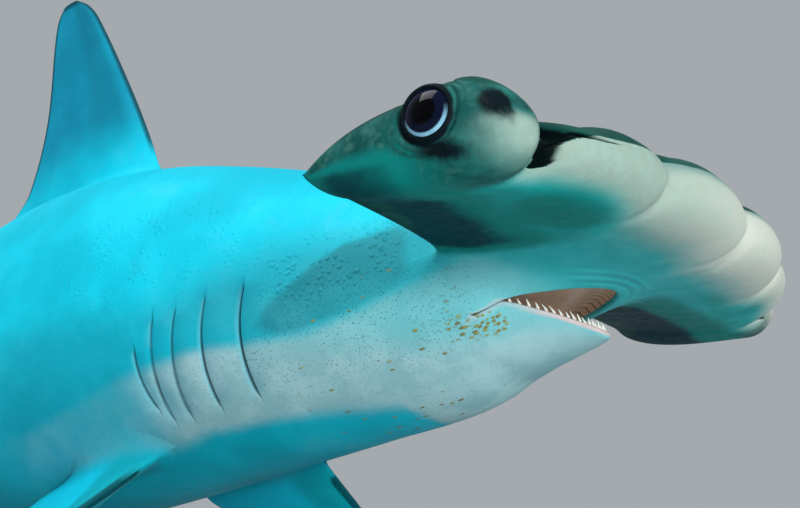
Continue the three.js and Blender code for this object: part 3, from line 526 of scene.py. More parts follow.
def relaxed(points, quads, share, rounds):
    """Each point moves towards the mean of its neighbours by its share, a number of times"""
    near = share[quads].max(1) > 0
    pairs = np.concatenate([quads[near][:, [k, (k + 1) % 4]] for k in range(4)])
    pairs = np.concatenate([pairs, pairs[:, ::-1]])
    count = np.maximum(1, np.bincount(pairs[:, 0], minlength=len(points)))[:, None]
    for _ in range(rounds):
        total = np.zeros_like(points)
        np.add.at(total, pairs[:, 0], points[pairs[:, 1]])
        points = points + share[:, None] * (total / count - points)
    return points


# the rims of the nostrils are evened out, and so are the corners where rows and columns of the tip meet
round_nostril = 0.5 * (pushed > 0.05)
body = relaxed(body, body_quads, round_nostril, 2)
corner_front = np.hypot(body[:, 0] - 77, np.abs(body[:, 1]) - 320)
body = relaxed(body, body_quads, 0.6 * (1 - smooth(8, 24, corner_front)), 40)

# eye sockets: the tip face is pushed in where the eyeball sits
eye_s, eye_out, eye_up, eye_radius = 126, 303, 13, 26
socket_deep = 11
from_eye = np.hypot(body[:, 0] - eye_s, body[:, 2] - eye_up)
socket = np.where(np.abs(body[:, 1]) > 280, 1 - smooth(20, 31, from_eye), 0)
body[:, 1] -= np.sign(body[:, 1]) * socket_deep * socket

pieces = [(body, body_quads, 0 * body[:, 0], 0 * body[:, 0] + 1e3, 0 * body[:, 0])]


def add_piece(grid, rise, rim, chord=0.0):
    """Adds a grid of straight points, turned so that most of its cells face outwards, with three marks:
    height over the root, distance to the rim and share of the chord"""
    points, cells, first = weld(grid.reshape(-1, 3), grid_quads(*grid.shape[:2]))
    if (squares(points, cells) * (points[cells].mean(1) - points.mean(0))).sum() < 0:
        cells = cells[:, ::-1]
    marks = [np.broadcast_to(values, grid.shape[:2]).reshape(-1)[first] for values in (rise, rim, chord)]
    pieces.append((points, cells + sum(len(piece[0]) for piece in pieces), *marks))


# Eyelids: a raised rim of skin round each eyeball, laid on the tip of the hammer
def eyelid(side):
    """Rays from inside the tip meet the skin; near the ball the lid leaves the skin and hugs the ball"""
    radius = np.array([14.5, 16.2, 17.2, 17.8, 18.6, 19.6, 20.8, 22.2, 24, 26, 28, 30, 32, 34, 36.5])
    turn = np.linspace(0, 2 * math.pi, 61)
    r, a = np.meshgrid(radius, turn, indexing="ij")
    start = np.stack([eye_s + 0 * r, 262 + 0 * r, 9 + 0 * r], -1)
    aim = np.stack([eye_s + r * np.cos(a), 324 + 0 * r, eye_up + r * np.sin(a)], -1) - start
    share = crossing(lambda t: depth_inside(start + aim * t[..., None]), 0 * r + 0.2, 0 * r + 1.4)
    skin = start + aim * share[..., None]
    ball = eye_out + np.sqrt(np.maximum(0, eye_radius ** 2 - r ** 2))
    profile = np.interp(radius, [14.5, 17.2, 17.8, 18.6, 19.6, 20.8], [-1.5, -0.3, 0.8, 1.9, 2.4, 2.5])
    heavy = 1 + 0.25 * np.sin(a)
    rim_y = ball + profile[:, None] * heavy
    leave = 1 - smooth(20.5, 29, r)
    sink = 1.5 * smooth(30, 36.5, r) + 0.5 * hump(r - 28.5, 1.6) * (0.6 + 0.4 * np.cos(a))
    flat = np.stack([aim[..., 0] + eye_s, 0 * r, aim[..., 2] + 9], -1)
    lid = skin.copy()
    lid[..., 0] = skin[..., 0] * (1 - leave) + flat[..., 0] * leave
    lid[..., 2] = skin[..., 2] * (1 - leave) + flat[..., 2] * leave
    lid[..., 1] = skin[..., 1] * (1 - leave) + np.maximum(rim_y, skin[..., 1] - 6) * leave - sink
    return lid * [1, side, 1]


for side in (1, -1):
    add_piece(eyelid(side), 0, 1e3)


# Fins: stiff plates of gristle under the same hide. Each is a foil, thick in front and thin behind,
# whose foot spreads in a quarter round on to the body.
def round_foil(chords):
    """Shares of the chord over one face and back over the other, and the face each belongs to"""
    c = 0.5 * (1 - np.cos(math.pi * np.linspace(0, 1, chords)))
    c = np.concatenate([c, c[-2::-1]])
    return c, np.where(np.arange(len(c)) < chords, 1, -1)


def edges(lead, trail, v):
    """Leading and trailing edge at a share of the height, from their tables of share and place"""
    return [curve_through(*np.array(table, float).T, v) for table in (lead, trail)]


def add_fin(root, out, height, thick, thin, lead, trail, foot=8, back=(1, 0, 0), reach=(-90, 70), rows=22,
        chords=16, twist=0):
    """Foil sections from the foot out to the tip; foot is the radius of the fillet round the root, or
    gives it, and twist swings the rear edge of the outer sections across the fin's plane"""
    back, out = [np.array(way, float) / np.linalg.norm(way) for way in (back, out)]
    across = np.cross(back, out)
    across /= np.linalg.norm(across)
    c, way = round_foil(chords)
    bulge = np.sin(math.pi * c ** 0.62).clip(0) ** 0.8
    radius = foot(c, way) if callable(foot) else foot * (1 - 0.9 * c ** 3)

    def section(v, flat=1.0):
        front, rear = edges(lead, trail, v)
        half = 0.5 * thick * (1 - np.clip(v, -1, 1) * thin) * flat
        swing = twist * smooth(0, 0.3, v) * (rear - front) * c
        return front + (rear - front) * c, way * half * bulge + swing

    def place(x, y, up):
        return root + back * x[..., None] + across * y[..., None] + out * up[..., None]

    x0, y0 = section(0 * c)
    steps = [np.roll(loop[:-1], -1) - np.roll(loop[:-1], 1) for loop in (x0, y0)]
    tx, ty = [np.append(step, step[0]) for step in steps]
    nx, ny = -ty / np.hypot(tx, ty), tx / np.hypot(tx, ty)
    grid, rise = [], []
    for a in np.radians([0, 12, 25, 40, 58, 75, 90]):
        off, high = radius * (1 - math.sin(a)), radius * (1 - math.cos(a))
        foot_x, foot_y = x0 + nx * off, y0 + ny * off
        up = crossing(lambda t: depth_inside(place(foot_x, foot_y, t)), reach[0] + 0 * c, reach[1] + 0 * c)
        up = up + high - (0.6 if a == 0 else 0)
        x, y = section(up / height)
        grid.append(place(x + nx * off, y + ny * off, up))
        rise.append(high)
    share = np.linspace(0, 1, rows)[1:]
    for q in 0.35 * share + 0.65 * (1 - np.cos(math.pi * share)) / 2:
        level = up + (height - up) * q
        grid.append(place(*section(level / height), level))
        rise.append(level - up + radius)
    grid.append(place(*section(np.ones(len(c)), 0), height + 0 * c))
    rise.append(rise[-1])
    grid = np.array(grid)
    v = ((grid - root) @ out) / height
    front, rear = edges(lead, trail, v)
    to_edge = np.minimum(c * (rear - front), (1 - c) * (rear - front) + 1000 * (c < 0.5))
    rim = np.maximum(0, np.minimum(to_edge, 0.6 * (1 - v) * height))
    add_piece(grid, np.array(rise), rim, c)


def on_top(s):
    return np.array([s, 0, trunk(trunk_top, s)])


def below(s):
    return np.array([s, 0, trunk(trunk_bottom, s)])


def on_flank(s, side, z):
    widest, half = trunk(trunk_widest, s), trunk(trunk_half, s)
    reach = trunk(trunk_top, s) - widest if z > widest else widest - trunk(trunk_bottom, s)
    return np.array([s, side * half * math.sqrt(1 - min(1, abs(z - widest) / reach) ** 2), z])


def blade_foot(side):
    """A wide fillet over a pectoral fin and a narrow one under it, both thinner at the rear edge"""
    wide, narrow = 30, 14
    return lambda c, way: (
        np.where(way * side > 0, wide, narrow) * (1 - 0.92 * c ** 3) * (0.55 + 0.45 * smooth(0, 0.2, c))
    )


# first and second dorsal fin and anal fin
add_fin(
    root=on_top(700) - [0, 0, 4], out=(0, 0, 1), height=310, thick=22, thin=0.84,
    lead=[(-0.16, -12), (0, -4), (0.2, 19), (0.5, 65), (0.86, 128), (0.95, 152), (1, 176)],
    trail=[(-0.16, 236), (0, 244), (0.03, 306), (0.16, 266), (0.45, 232), (0.86, 222), (0.95, 216), (1, 204)],
    foot=20, rows=40, chords=30,
)
add_fin(
    root=on_top(1590) - [0, 0, 3], out=(0, 0, 1), height=66, thick=9, thin=0.75,
    lead=[(-0.35, -6), (0, 0), (0.5, 34), (0.8, 60), (1, 82)],
    trail=[(-0.35, 92), (0, 98), (0.12, 222), (0.3, 166), (0.55, 122), (0.8, 104), (1, 96)],
)
add_fin(
    root=below(1545) + [0, 0, 3], out=(0, 0, -1), height=96, thick=11, thin=0.75,
    lead=[(-0.3, -6), (0, 0), (0.45, 52), (0.9, 112), (1, 128)],
    trail=[(-0.3, 148), (0, 154), (0.1, 216), (0.25, 172), (0.45, 142), (0.7, 134), (0.9, 138), (1, 140)],
)

# pectoral fins, the near one held further back and lower, and pelvic fins
for side, at, sweep, droop, falls, twist in ((1, 522, 6, 32, 0, 0.05), (-1, 580, 28, 36, 0.1, 0.25)):
    sweep, droop = math.radians(sweep), math.radians(droop)
    sideways = math.cos(sweep) * math.cos(droop)
    add_fin(
        root=on_flank(at, side, -104) + [0, -6 * side, 3], back=(1, 0.02 * side, -falls),
        out=(math.sin(sweep) * math.cos(droop), side * sideways, -math.sin(droop)),
        height=350, thick=25, thin=0.85,
        lead=[(-0.14, -6), (0, 0), (0.54, 6), (0.87, 26), (1, 62)],
        trail=[(-0.14, 132), (0, 142), (0.1, 202), (0.24, 168), (0.54, 104), (0.87, 77), (1, 74)],
        foot=blade_foot(side), reach=(-110, 60), rows=36, chords=28, twist=-side * twist,
    )
    add_fin(
        root=on_flank(1255, side, -50) + [0, -4 * side, 2],
        back=(1, -0.12 * side, 0.14), out=(0.32, 0.72 * side, -0.62), height=112, thick=13, thin=0.8,
        lead=[(-0.25, -4), (0, 0), (0.45, 14), (0.9, 46), (1, 62)],
        trail=[(-0.25, 118), (0, 124), (0.08, 176), (0.22, 156), (0.45, 126), (0.7, 100), (0.9, 84), (1, 78)],
        reach=(-60, 40),
    )


# Tail fin: the trunk runs on as a tapering rod of muscle along the front edge of the long upper
# lobe, with a thin web behind it, and the shorter lower lobe hangs from its root.
def add_upper_lobe():
    """Sections across the lobe's own axis: a round rod that thins outwards and a web behind it"""
    rise = math.radians(28)
    root = on_top(trunk_end - 40) - [0, 0, 1]
    along = np.array([math.cos(rise), 0, math.sin(rise)])
    down = np.array([math.sin(rise), 0, -math.cos(rise)])
    height = 2600 - root[0]
    lead = [(0, 4), (0.05, -6), (0.3, 0), (0.72, -4), (1, 22)]
    trail = [(0, 60), (0.05, 82), (0.12, 132), (0.2, 160), (0.3, 128), (0.6, 74), (0.72, 66),
        (0.77, 48), (0.8, 74), (0.85, 88), (0.92, 66), (1, 34)]
    c, way = round_foil(30)
    v = [[-0.05], np.linspace(0, 0.3, 22), np.linspace(0.32, 0.7, 20), np.linspace(0.715, 0.99, 22), [1, 1]]
    v = np.concatenate(v)[:, None]
    front, rear = edges(lead, trail, v)
    behind = (rear - front) * c
    rod_high = 29 * (1 - 0.82 * smooth(-0.05, 0.9, v))
    rod_wide = 22.5 * (1 - np.clip(v, 0, 1)) ** 1.15 + 1.2
    rod = rod_wide * np.sqrt(np.maximum(0, 1 - ((behind - rod_high) / rod_high) ** 2))
    web = (4.5 - 3 * v) * np.sin(math.pi * c ** 0.5).clip(0) ** 0.7
    half = way * np.cbrt(rod ** 3 + web ** 3)
    half[-1] = 0
    grid = root + down * (front + behind)[..., None] + along * (v * height + 0 * behind)[..., None]
    grid = grid + np.array([0, 1, 0]) * half[..., None]
    edge = np.minimum((1 - c) * (rear - front), 0.6 * (1 - v) * height)
    add_piece(grid, 0 * behind + v * 400, np.maximum(0, edge), c)


add_upper_lobe()
fall = math.radians(52)
add_fin(
    root=below(trunk_end - 22) + [0, 0, 2], back=(math.sin(fall), 0, math.cos(fall)),
    out=(math.cos(fall), 0, -math.sin(fall)), height=360, thick=20, thin=0.86,
    lead=[(-0.06, 10), (0, 0), (0.36, -12), (0.72, -4), (1, 22)],
    trail=[(-0.06, 130), (0, 190), (0.1, 180), (0.22, 142), (0.36, 112), (0.72, 66), (0.88, 52), (1, 34)],
    foot=lambda c, way: 5 + 0 * c, reach=(-20, 12), rows=26, chords=20,
)
skin_points, skin_quads, rise, rim, chord = [np.concatenate(part) for part in zip(*pieces)]


def mesh_object(name, points, quads, **marks):
    """A mesh from straight points: bending mirrors them, so every cell is turned round as it goes in"""
    mesh = bpy.data.meshes.new(name)
    quads = quads[:, ::-1]
    corners = quads.reshape(-1)
    keep = (quads != np.roll(quads, 1, 1)).reshape(-1)
    sizes = keep.reshape(-1, 4).sum(1)
    mesh.vertices.add(len(points))
    mesh.vertices.foreach_set("co", posed(points).reshape(-1))
    mesh.loops.add(int(sizes.sum()))
    mesh.loops.foreach_set("vertex_index", corners[keep])
    mesh.polygons.add(len(sizes))
    mesh.polygons.foreach_set("loop_start", np.concatenate([[0], np.cumsum(sizes)[:-1]]))
    mesh.update(calc_edges=True)
    mesh.validate()
    mesh.shade_smooth()
    for key, values in marks.items():
        kind, channel = ("FLOAT_VECTOR", "vector") if values.ndim == 2 else ("FLOAT", "value")
        mesh.attributes.new(key, kind, "POINT").data.foreach_set(channel, values.astype(float).reshape(-1))
    return into_scene(name, mesh)


# Markings, as shares from 0 to 1 over the hide: how far each paint of the real animal reaches, and where
# light and shade are painted into the colour
s, y, z = skin_points.T
out_y, out_z = normals(skin_points, skin_quads).T[1:]
side_y = np.abs(y)
on_head = smooth(290, 205, s)
on_tip = smooth(262, 290, side_y) * on_head

# on the hammer: cream behind the front edge, a dark strip over that edge, and painted shade under the
# wings and on the lower rear of each tip
reach = 96 - 50 * smooth(90, 200, side_y)
cream = on_head * (1 - smooth(0.05 * reach, reach, s - lead_edge(y))) * (1 - on_tip)
tip_cream = hump(np.maximum(0, s - 50), 38) * hump(np.minimum(0, z + 16), 20)
cream = np.maximum(cream, 0.92 * on_tip * tip_cream * smooth(6, -8, z))
strip_z = -5 + 1.5 * smooth(256, 225, side_y) + 5 * smooth(225, 150, side_y) + 3 * smooth(150, 90, side_y)
strip = smooth(strip_z - 2.5, strip_z + 1, z) * on_head * smooth(22, 50, side_y) * smooth(282, 268, side_y)
on_neck = smooth(120, 240, s) * smooth(170, 110, side_y)
strip = np.maximum(strip, on_head * smooth(0.4, 0.75, out_z)) * (1 - on_neck)
ridge = smooth(strip_z - 15, strip_z - 1, z) * (side_y < 262) * on_head
patch_near = np.exp(-(((s - 96) / 44) ** 2 + ((y + 196) / 48) ** 2) ** 1.5)
patch_far = np.exp(-(((s - 80) / 20) ** 2 + ((y - 118) / 34) ** 2) ** 1.2)
rear_near = (0.28 * smooth(78, 104, s) + 0.75 * smooth(104, 210, s)) * smooth(-96, -150, y)
rear_near = rear_near * (1 - 0.2 * smooth(250, 300, side_y))
rear_far = 0.45 * smooth(20, 100, y) * smooth(84, 125, s) + 0.7 * smooth(135, 180, s) * smooth(70, 150, y)
shade = np.maximum.reduce([0.62 * patch_near, 0.3 * patch_far, rear_near, rear_far])
tip_shade = 0.7 * on_tip * smooth(-14, -36, z) * smooth(100, 160, s)
shade = np.maximum(on_head * smooth(0.15, -0.45, out_z) * shade, tip_shade)
shade = shade * (1 - cream * smooth(255, 285, side_y))

# on the tip: a blotch and a smear in front, painted shade under the eye and a dark ring round it
blotch = 1.1 * hump(s - 77 - 0.25 * z, 9) * hump(z - 6, 14) * smooth(296, 306, side_y)
front_smear = 0.45 * smooth(86, 70, s) * plateau(z, 9, 8) * smooth(262, 290, side_y)
under_eye = 0.85 * hump(s - 120, 24) * hump(z + 17 - 0.3 * (s - 118), 9) * smooth(290, 306, side_y)
eye_ring = 1.2 * plateau(np.hypot(s - eye_s - 1.5, z - eye_up), 18, 4.6) * (side_y > 295)
blotch = np.clip(np.maximum.reduce([blotch, front_smear, under_eye, eye_ring]), 0, 1.2)

# round the mouth: distance before the upper lip, and gums inside the lower one
bow = y / mouth_half
lip_gap = (mouth_front + mouth_deep * bow ** 2 - s) / np.hypot(1, 2 * mouth_deep * bow / mouth_half)
jaw_gap = jaw_front + (mouth_back - jaw_front) * bow ** 2 - s
over_lip = z - np.interp(s, low_s, lip_low)
gum = smooth(-3.4, -1.6, over_lip) * (over_lip < 3.7) * (side_y < 87) * (s > 138) * (s < 237)
gum = gum * (np.abs(jaw_gap) < 9) * (1 - 0.6 * smooth(40, 75, side_y))

# on the trunk: a back painted brighter as light from above, a pale band along jaw, throat and flank
# that is the pale underside with painted light from a lamp in front, and a painted shadow of the
# hammer's wings on the neck
level_z = (z - trunk(trunk_bottom, s)) / (trunk(trunk_top, s) - trunk(trunk_bottom, s))
# painted light: the back is painted brighter, as where light falls on it from above
back = (1 - on_head) * smooth(0.34, 0.6, level_z)
# the pale underside, with painted light from a lamp in front that sets how far and how pale it reaches
pale_top = np.interp(s, [150, 215, 255, 290, 335, 390, 450, 500, 600, 740],
    [-30, -8, -10, -16, -26, -34, -30, -26, -34, -66])
pale_low = np.interp(s, [260, 330, 420, 520, 570, 640, 740], [-190, -106, -97, -98, -108, -112, -118])
throat = smooth(pale_top + 8, pale_top - 12, z) * smooth(pale_low - 8, pale_low + 10, z)
throat *= (1 - 0.7 * smooth(500, 620, s)) * smooth(830, 740, s) * (side_y < 190)
on_jaw = smooth(3, -3, over_lip) * (s < 300) * (side_y < 100) * (z < -40)
throat = np.maximum(throat * smooth(130, 225, s), on_jaw)
# a painted shadow of the hammer's wings on the neck
dusky_top = np.interp(s, [290, 340, 390, 430], [46, 40, 12, -12])
dusky_low = np.interp(s, [260, 290, 335, 400, 450], [-4, -10, -22, -28, -24])
dusky = smooth(dusky_top + 9, dusky_top - 9, z) * smooth(dusky_low - 10, dusky_low + 8, z)
dusky *= smooth(450, 400, s) * smooth(262, 300, s)

# pimples, specks and flecks, and painted shade as a thin dark line under the front edge of each fin
pimples = plateau(s, 345, 72) * plateau(z, 24, 34) + 0.45 * plateau(s, 560, 150) * plateau(z, 100, 60)
specky = plateau(s, 330, 120) * plateau(z, -20, 48) + 0.5 * throat * (1 - on_head)
flecks = plateau(s, 235, 26) * plateau(z, -59, 10) * (y < 0)
stray = plateau(s, 300, 110) * smooth(20, -10, z) * (1 - on_head)
under_fin = smooth(0.2, -0.3, out_z) * (np.abs(out_y) < 0.95)
edge = smooth(0.045, 0.012, chord) * smooth(25, 45, rise) * under_fin


def on_body(values, elsewhere=0):
    """Values worked out on the body alone, carried to the whole skin"""
    return np.pad(values, (0, len(skin_points) - len(body)), constant_values=elsewhere)


skin = mesh_object(
    "skin", skin_points, skin_quads,
    place=skin_points / 1000, rise=rise, rim=rim, chord=chord, edge=edge, cream=cream, strip=strip,
    ridge=ridge, shade=shade, back=back, tip=on_tip, throat=throat, blotch=blotch, lip_gap=lip_gap,
    gum=gum, dusky=dusky, flecks=flecks, stray=stray, pimples=np.clip(pimples, 0, 1),
    specky=np.clip(specky, 0, 1), nose_gap=on_body(nose_gap, -9), nose_flap=on_body(nose_flap),
    slit=on_body(np.clip(slit_dark, 0, 1)), flap=on_body(slit_flap),
)


def finish(name):
    """A new material with its node tree and its shader; the helpers below add to the latest tree"""
    look = bpy.data.materials.new(name)
    look.use_nodes = True
    return look, look.node_tree, look.node_tree.nodes["Principled BSDF"]


def feed(node, **inputs):
    """Sets inputs by name, or by at and a number: each to a number, a colour or another node's socket"""
    for key, value in inputs.items():
        socket = node.inputs[int(key[2:])] if key.startswith("at") else node.inputs[key.replace("_", " ")]
        if isinstance(value, bpy.types.NodeSocket):
            tree.links.new(value, socket)
        else:
            socket.default_value = value


def add(kind, settings=None, **inputs):
    """The outputs of a new node with its settings and inputs"""
    node = tree.nodes.new("ShaderNode" + kind)
    for key, value in (settings or {}).items():
        setattr(node, key, value)
    feed(node, **inputs)
    return node.outputs


def calc(how, a, b=0.0, *more):
    """One operation on sockets or numbers, carried on over any further ones"""
    made = add("Math", {"operation": how}, at0=a, at1=b)[0]
    return calc(how, made, *more) if more else made


def times(*factors):
    return calc("MULTIPLY", *factors)


def mixed(share, a, b):
    """Two colours mixed by a share"""
    a, b = [(*colour, 1) if isinstance(colour, tuple) else colour for colour in (a, b)]
    return add("Mix", {"data_type": "RGBA"}, at0=share, at6=a, at7=b)[2]


def coats(paint, *layers):
    """Layers over a paint, each given by how far it reaches, its colour and, if not one, its strength"""
    for share, colour, *strength in layers:
        paint = mixed(times(share, *strength) if strength else share, paint, colour)
    return paint


def ramp(value, low, high):
    """Smooth step of a socket, from 0 at low to 1 at high; low may be the larger"""
    return add("MapRange", {"interpolation_type": "SMOOTHSTEP"}, Value=value, From_Min=low, From_Max=high)[0]


def mark(name):
    return add("Attribute", {"attribute_name": name})["Fac"]


def mark_xyz(name):
    return add("SeparateXYZ", Vector=add("Attribute", {"attribute_name": name})["Vector"])


def spot(stretch=None):
    """Object coordinates, drawn out along an axis where its stretch is under one"""
    at = add("TexCoord")["Object"]
    return add("Mapping", Vector=at, Scale=stretch)[0] if stretch else at


def cloud(scale, detail=3.0, stretch=None):
    return add("TexNoise", Vector=spot(stretch), Scale=scale, Detail=detail, Roughness=0.55)["Fac"]


def uneven(share, amount):
    """A cloud's share spread round nought"""
    return times(calc("SUBTRACT", share, 0.5), amount)


def grains(scale, stretch=None):
    """Distance to the nearest of many scattered points, and two random numbers for each of them"""
    found = add("TexVoronoi", Vector=spot(stretch), Scale=scale)
    return found["Distance"], *add("SeparateColor", Color=found["Color"])[:2]


# Hide finish: blue-green back and fins, paler flanks and throat, cream lobes on the front of the
# hammer, painted shade in dark teal under its wings, an olive strip over its edge, dark blotches, fine
# specks, a few olive flecks, and the fine grain of the scales as bump. The blue-green over the whole
# hide is the cast of light under water, painted in; the back is brighter as painted light from above,
# the pale band is partly painted light from a lamp in front, and neck, slits, nostrils and gill flaps
# carry painted shadow, shade and highlight.
hide, tree, shader = finish("hide")
wide, middling, fine = cloud(7, 4), cloud(26, 4), cloud(120)
ragged = calc("ADD", uneven(middling, 0.5), uneven(wide, 0.6))
soft, patchy = ramp(wide, 0.35, 0.65), ramp(middling, 0.36, 0.64)
place_s, place_y, place_z = mark_xyz("place")
lip_gap, flap, over_root, along_chord = mark("lip_gap"), mark("flap"), mark("rise"), mark("chord")


def frayed(name, low, high, amount=1.0):
    """A marking's share with its border made uneven by the clouds"""
    return ramp(calc("ADD", mark(name), times(ragged, amount)), low, high)


near_mouth = times(ramp(lip_gap, 120, 12), ramp(lip_gap, -30, 0))
tip_paint = coats(
    mixed(ramp(middling, 0.4, 0.6), (0.003, 0.07, 0.066), (0.015, 0.13, 0.12)),
    (ramp(fine, 0.5, 0.7), (0.07, 0.22, 0.18), 0.4),
)
cream_paint = coats(
    # the pale lobes, darker on the near side as painted shade
    mixed(ramp(place_y, -0.2, 0.03), (0.25, 0.35, 0.31), (0.52, 0.55, 0.50)),
    (ramp(fine, 0.35, 0.7), (0.3, 0.5, 0.46), 0.25),
    (times(mark("ridge"), ramp(place_y, -0.19, -0.13)), (0.15, 0.27, 0.25)),
)
deep_shade = ramp(frayed("shade", 0.2, 1.1, 0.6), 0.3, 0.85)
smear = calc("ADD", mark("blotch"), uneven(fine, 0.7))

# fins: deeper blue towards the tip, a dusky band behind the leading edge, a thin dark rim, and
# painted shade under the front edge
low_fin = ramp(place_z, -0.03, -0.08)
fin_share = calc("MAXIMUM", ramp(over_root, 14, 110), times(ramp(over_root, 3, 30), low_fin))
band = times(ramp(along_chord, 0.04, 0.16), ramp(along_chord, 0.52, 0.3), 0.6, calc("SUBTRACT", 1.0, low_fin))
fin_paint = coats(
    mixed(soft, (0.002, 0.19, 0.32), (0.004, 0.26, 0.41)),
    (low_fin, (0.003, 0.60, 0.84)),
    (times(ramp(along_chord, 0.34, 0.16), low_fin), (0.003, 0.26, 0.29), 0.7),
    (band, (0.001, 0.10, 0.17)),
)
fin_rim = times(ramp(mark("rim"), 7, 1.5), ramp(over_root, 20, 60))
# the painted shade under the front edge of each fin
fin_rim = calc("MAXIMUM", fin_rim, ramp(mark("edge"), 0.1, 0.6))

# specks, and the small olive flecks on the side of the jaw
near, pick, _ = grains(400)
speck = times(ramp(near, 0.38, 0.16), ramp(pick, 0.4, 0.5), ramp(middling, 0.3, 0.5), mark("specky"))
near, pick, tone = grains(290, (0.42, 1.0, 1.0))
on_jaw_side = times(frayed("flecks", 0.3, 0.6, 0.8), ramp(pick, 0.1, 0.15))
fleck_here = calc("MAXIMUM", on_jaw_side, times(ramp(pick, 0.975, 0.98), mark("stray")))
fleck = times(ramp(near, 0.5, 0.36), fleck_here)

# all coats of the hide, from the flank's blue-green base, which carries the painted cast of light
# under water, to the last flecks
paint = coats(
    mixed(soft, (0.003, 0.35, 0.47), (0.006, 0.44, 0.58)),
    # painted light from above, brightening the back
    (frayed("back", 0.1, 0.9), mixed(soft, (0.002, 0.47, 0.64), (0.004, 0.60, 0.80))),
    (ramp(place_s, 0.275, 0.215), mixed(patchy, (0.006, 0.33, 0.32), (0.02, 0.43, 0.43))),
    # painted shadow of the wings on the neck
    (frayed("dusky", 0.1, 0.8), mixed(patchy, (0.001, 0.13, 0.20), (0.001, 0.20, 0.30)), 0.85),
    # the pale underside, partly painted light from a lamp in front
    (frayed("throat", 0.0, 1.0, 0.5), mixed(patchy, (0.23, 0.45, 0.50), (0.31, 0.53, 0.58))),
    (near_mouth, (0.05, 0.46, 0.52), 0.6),
    (frayed("tip", 0.1, 0.8, 0.8), tip_paint),
    (frayed("cream", 0.0, 0.95, 0.7), cream_paint),
    # painted shade under the wings and tips, from mid teal to near black
    (frayed("shade", 0.1, 0.5, 0.6), mixed(deep_shade, (0.002, 0.20, 0.185), (0.0005, 0.035, 0.05))),
    (frayed("strip", 0.3, 0.7, 0.35), mixed(patchy, (0.003, 0.045, 0.04), (0.01, 0.075, 0.06))),
    (ramp(smear, 0.12, 0.8), (0.001, 0.006, 0.009)),
    (mark("gum"), (0.72, 0.46, 0.46), 0.7),
    # painted shade on the gill flaps ahead of each slit, and a painted highlight just behind it
    (ramp(flap, 0, 1), (0.002, 0.16, 0.26), 0.4),
    (ramp(flap, 0, -0.7), (0.16, 0.62, 0.78), 0.6),
    # painted shade in the gill slits
    (ramp(mark("slit"), 0.1, 0.8), (0.001, 0.008, 0.014)),
    # painted shade: nostrils and grooves near black inside, with the flap over them
    (ramp(mark("nose_gap"), -0.5, 0.4), mixed(mark("nose_flap"), (0.001, 0.005, 0.006), (0.05, 0.09, 0.05))),
    (fin_share, fin_paint, 0.9),
    (fin_rim, (0.001, 0.025, 0.035), 0.85),
    (speck, (0.01, 0.10, 0.13), 0.7),
    (fleck, mixed(tone, (0.27, 0.30, 0.05), (0.15, 0.12, 0.03)), 0.9),
)

# grain: scale-like fine bump, low wrinkles, pimples on the neck, soft folds round the mouth, raised
# flecks; each height is in metres
pimple = times(ramp(grains(150)[0], 0.44, 0.1), times(ramp(cloud(40, 2), 0.44, 0.54), mark("pimples")))
fold_here = times(ramp(lip_gap, 2, 8), ramp(lip_gap, 40, 16), ramp(place_s, 0.160, 0.128))
fold = times(calc("SINE", times(lip_gap, 0.62)), fold_here)
reliefs = ((cloud(600), 0.0003), (middling, 0.0016), (pimple, 0.0018), (fold, 0.0005), (fleck, 0.0006))
height = calc("ADD", *[times(share, high) for share, high in reliefs])
bump = add("Bump", Strength=0.8, Distance=1.0, Height=height)[0]
feed(shader, Base_Color=paint, Normal=bump, Roughness=ramp(fine, -1.2, 1.9), Specular_IOR_Level=0.06)
skin.data.materials.append(hide)
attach(skin, "root")
flesh = ["head_middle", "hammer_wing_left", "hammer_wing_right", "gill_section", "trunk_front", "trunk_rear",
    "tail_stem", "lower_jaw", "first_dorsal_fin", "second_dorsal_fin", "anal_fin", "pectoral_fin_left",
    "pectoral_fin_right", "pelvic_fin_left", "pelvic_fin_right", "tail_upper_lobe", "tail_lower_lobe"]
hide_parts(*flesh)

# Lining of the mouth: palate, back wall and floor as one pocket between the two lips. Its folds are
# dark stripes of painted shade in their creases, its deep end is painted near black as shade, and its
# floor has a pink gum behind the teeth.
both = np.arange(1 - len(lip_t), len(lip_t))
mirror = np.where(both < 0, -1, 1)[:, None] ** [0, 1, 0]
arch_t = lip_t[np.abs(both)] * np.sign(both)
wall = np.stack([228 + 4 * arch_t ** 2, 60 * arch_t, -47 + 0 * arch_t], -1)
inward = np.linspace(0, 1, 20)[:, None]
halves = []
for lip, swell in ((upper_lip, 13), (lower_lip, -7)):
    half_pocket = lip[np.abs(both), -1] * mirror * (1 - inward[..., None]) + wall * inward[..., None]
    half_pocket[..., 2] += swell * np.sin(math.pi * inward ** 0.55) * (1 - np.abs(arch_t) ** 4)
    halves.append(half_pocket)
pocket = np.concatenate([halves[0], halves[1][-2::-1]])
deep = np.concatenate([inward, inward[-2::-1]]) + 0 * pocket[..., 0]
lining_quads = grid_quads(*pocket.shape[:2], flip=True)
lining = mesh_object(
    "mouth_lining", pocket.reshape(-1, 3), lining_quads,
    deep=deep.reshape(-1), across=np.broadcast_to(arch_t, deep.shape).reshape(-1),
    floor=np.repeat(np.arange(len(pocket)) > 20, pocket.shape[1]),
)
flesh_look, tree, shader = finish("mouth_flesh")
deep = mark("deep")
stripe = calc("ABSOLUTE", calc("SINE", times(mark("across"), 46)))
palate_paint = coats(
    mixed(cloud(60), (0.55, 0.38, 0.27), (0.74, 0.54, 0.41)),
    # painted shade in the creases of the folds near the lips
    (times(ramp(stripe, 0.5, 0.1), ramp(deep, 0.5, 0.1)), (0.06, 0.035, 0.02), 0.75),
)
mouth_paint = coats(
    palate_paint,
    (mark("floor"), mixed(ramp(deep, 0.02, 0.16), (0.80, 0.44, 0.42), palate_paint)),
    # painted shade: near black deep in the mouth
    (ramp(deep, 0.55, 0.95), (0.02, 0.008, 0.006)),
)
feed(shader, Base_Color=mouth_paint, Roughness=0.35)
lining.data.materials.append(flesh_look)
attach(lining, "root")

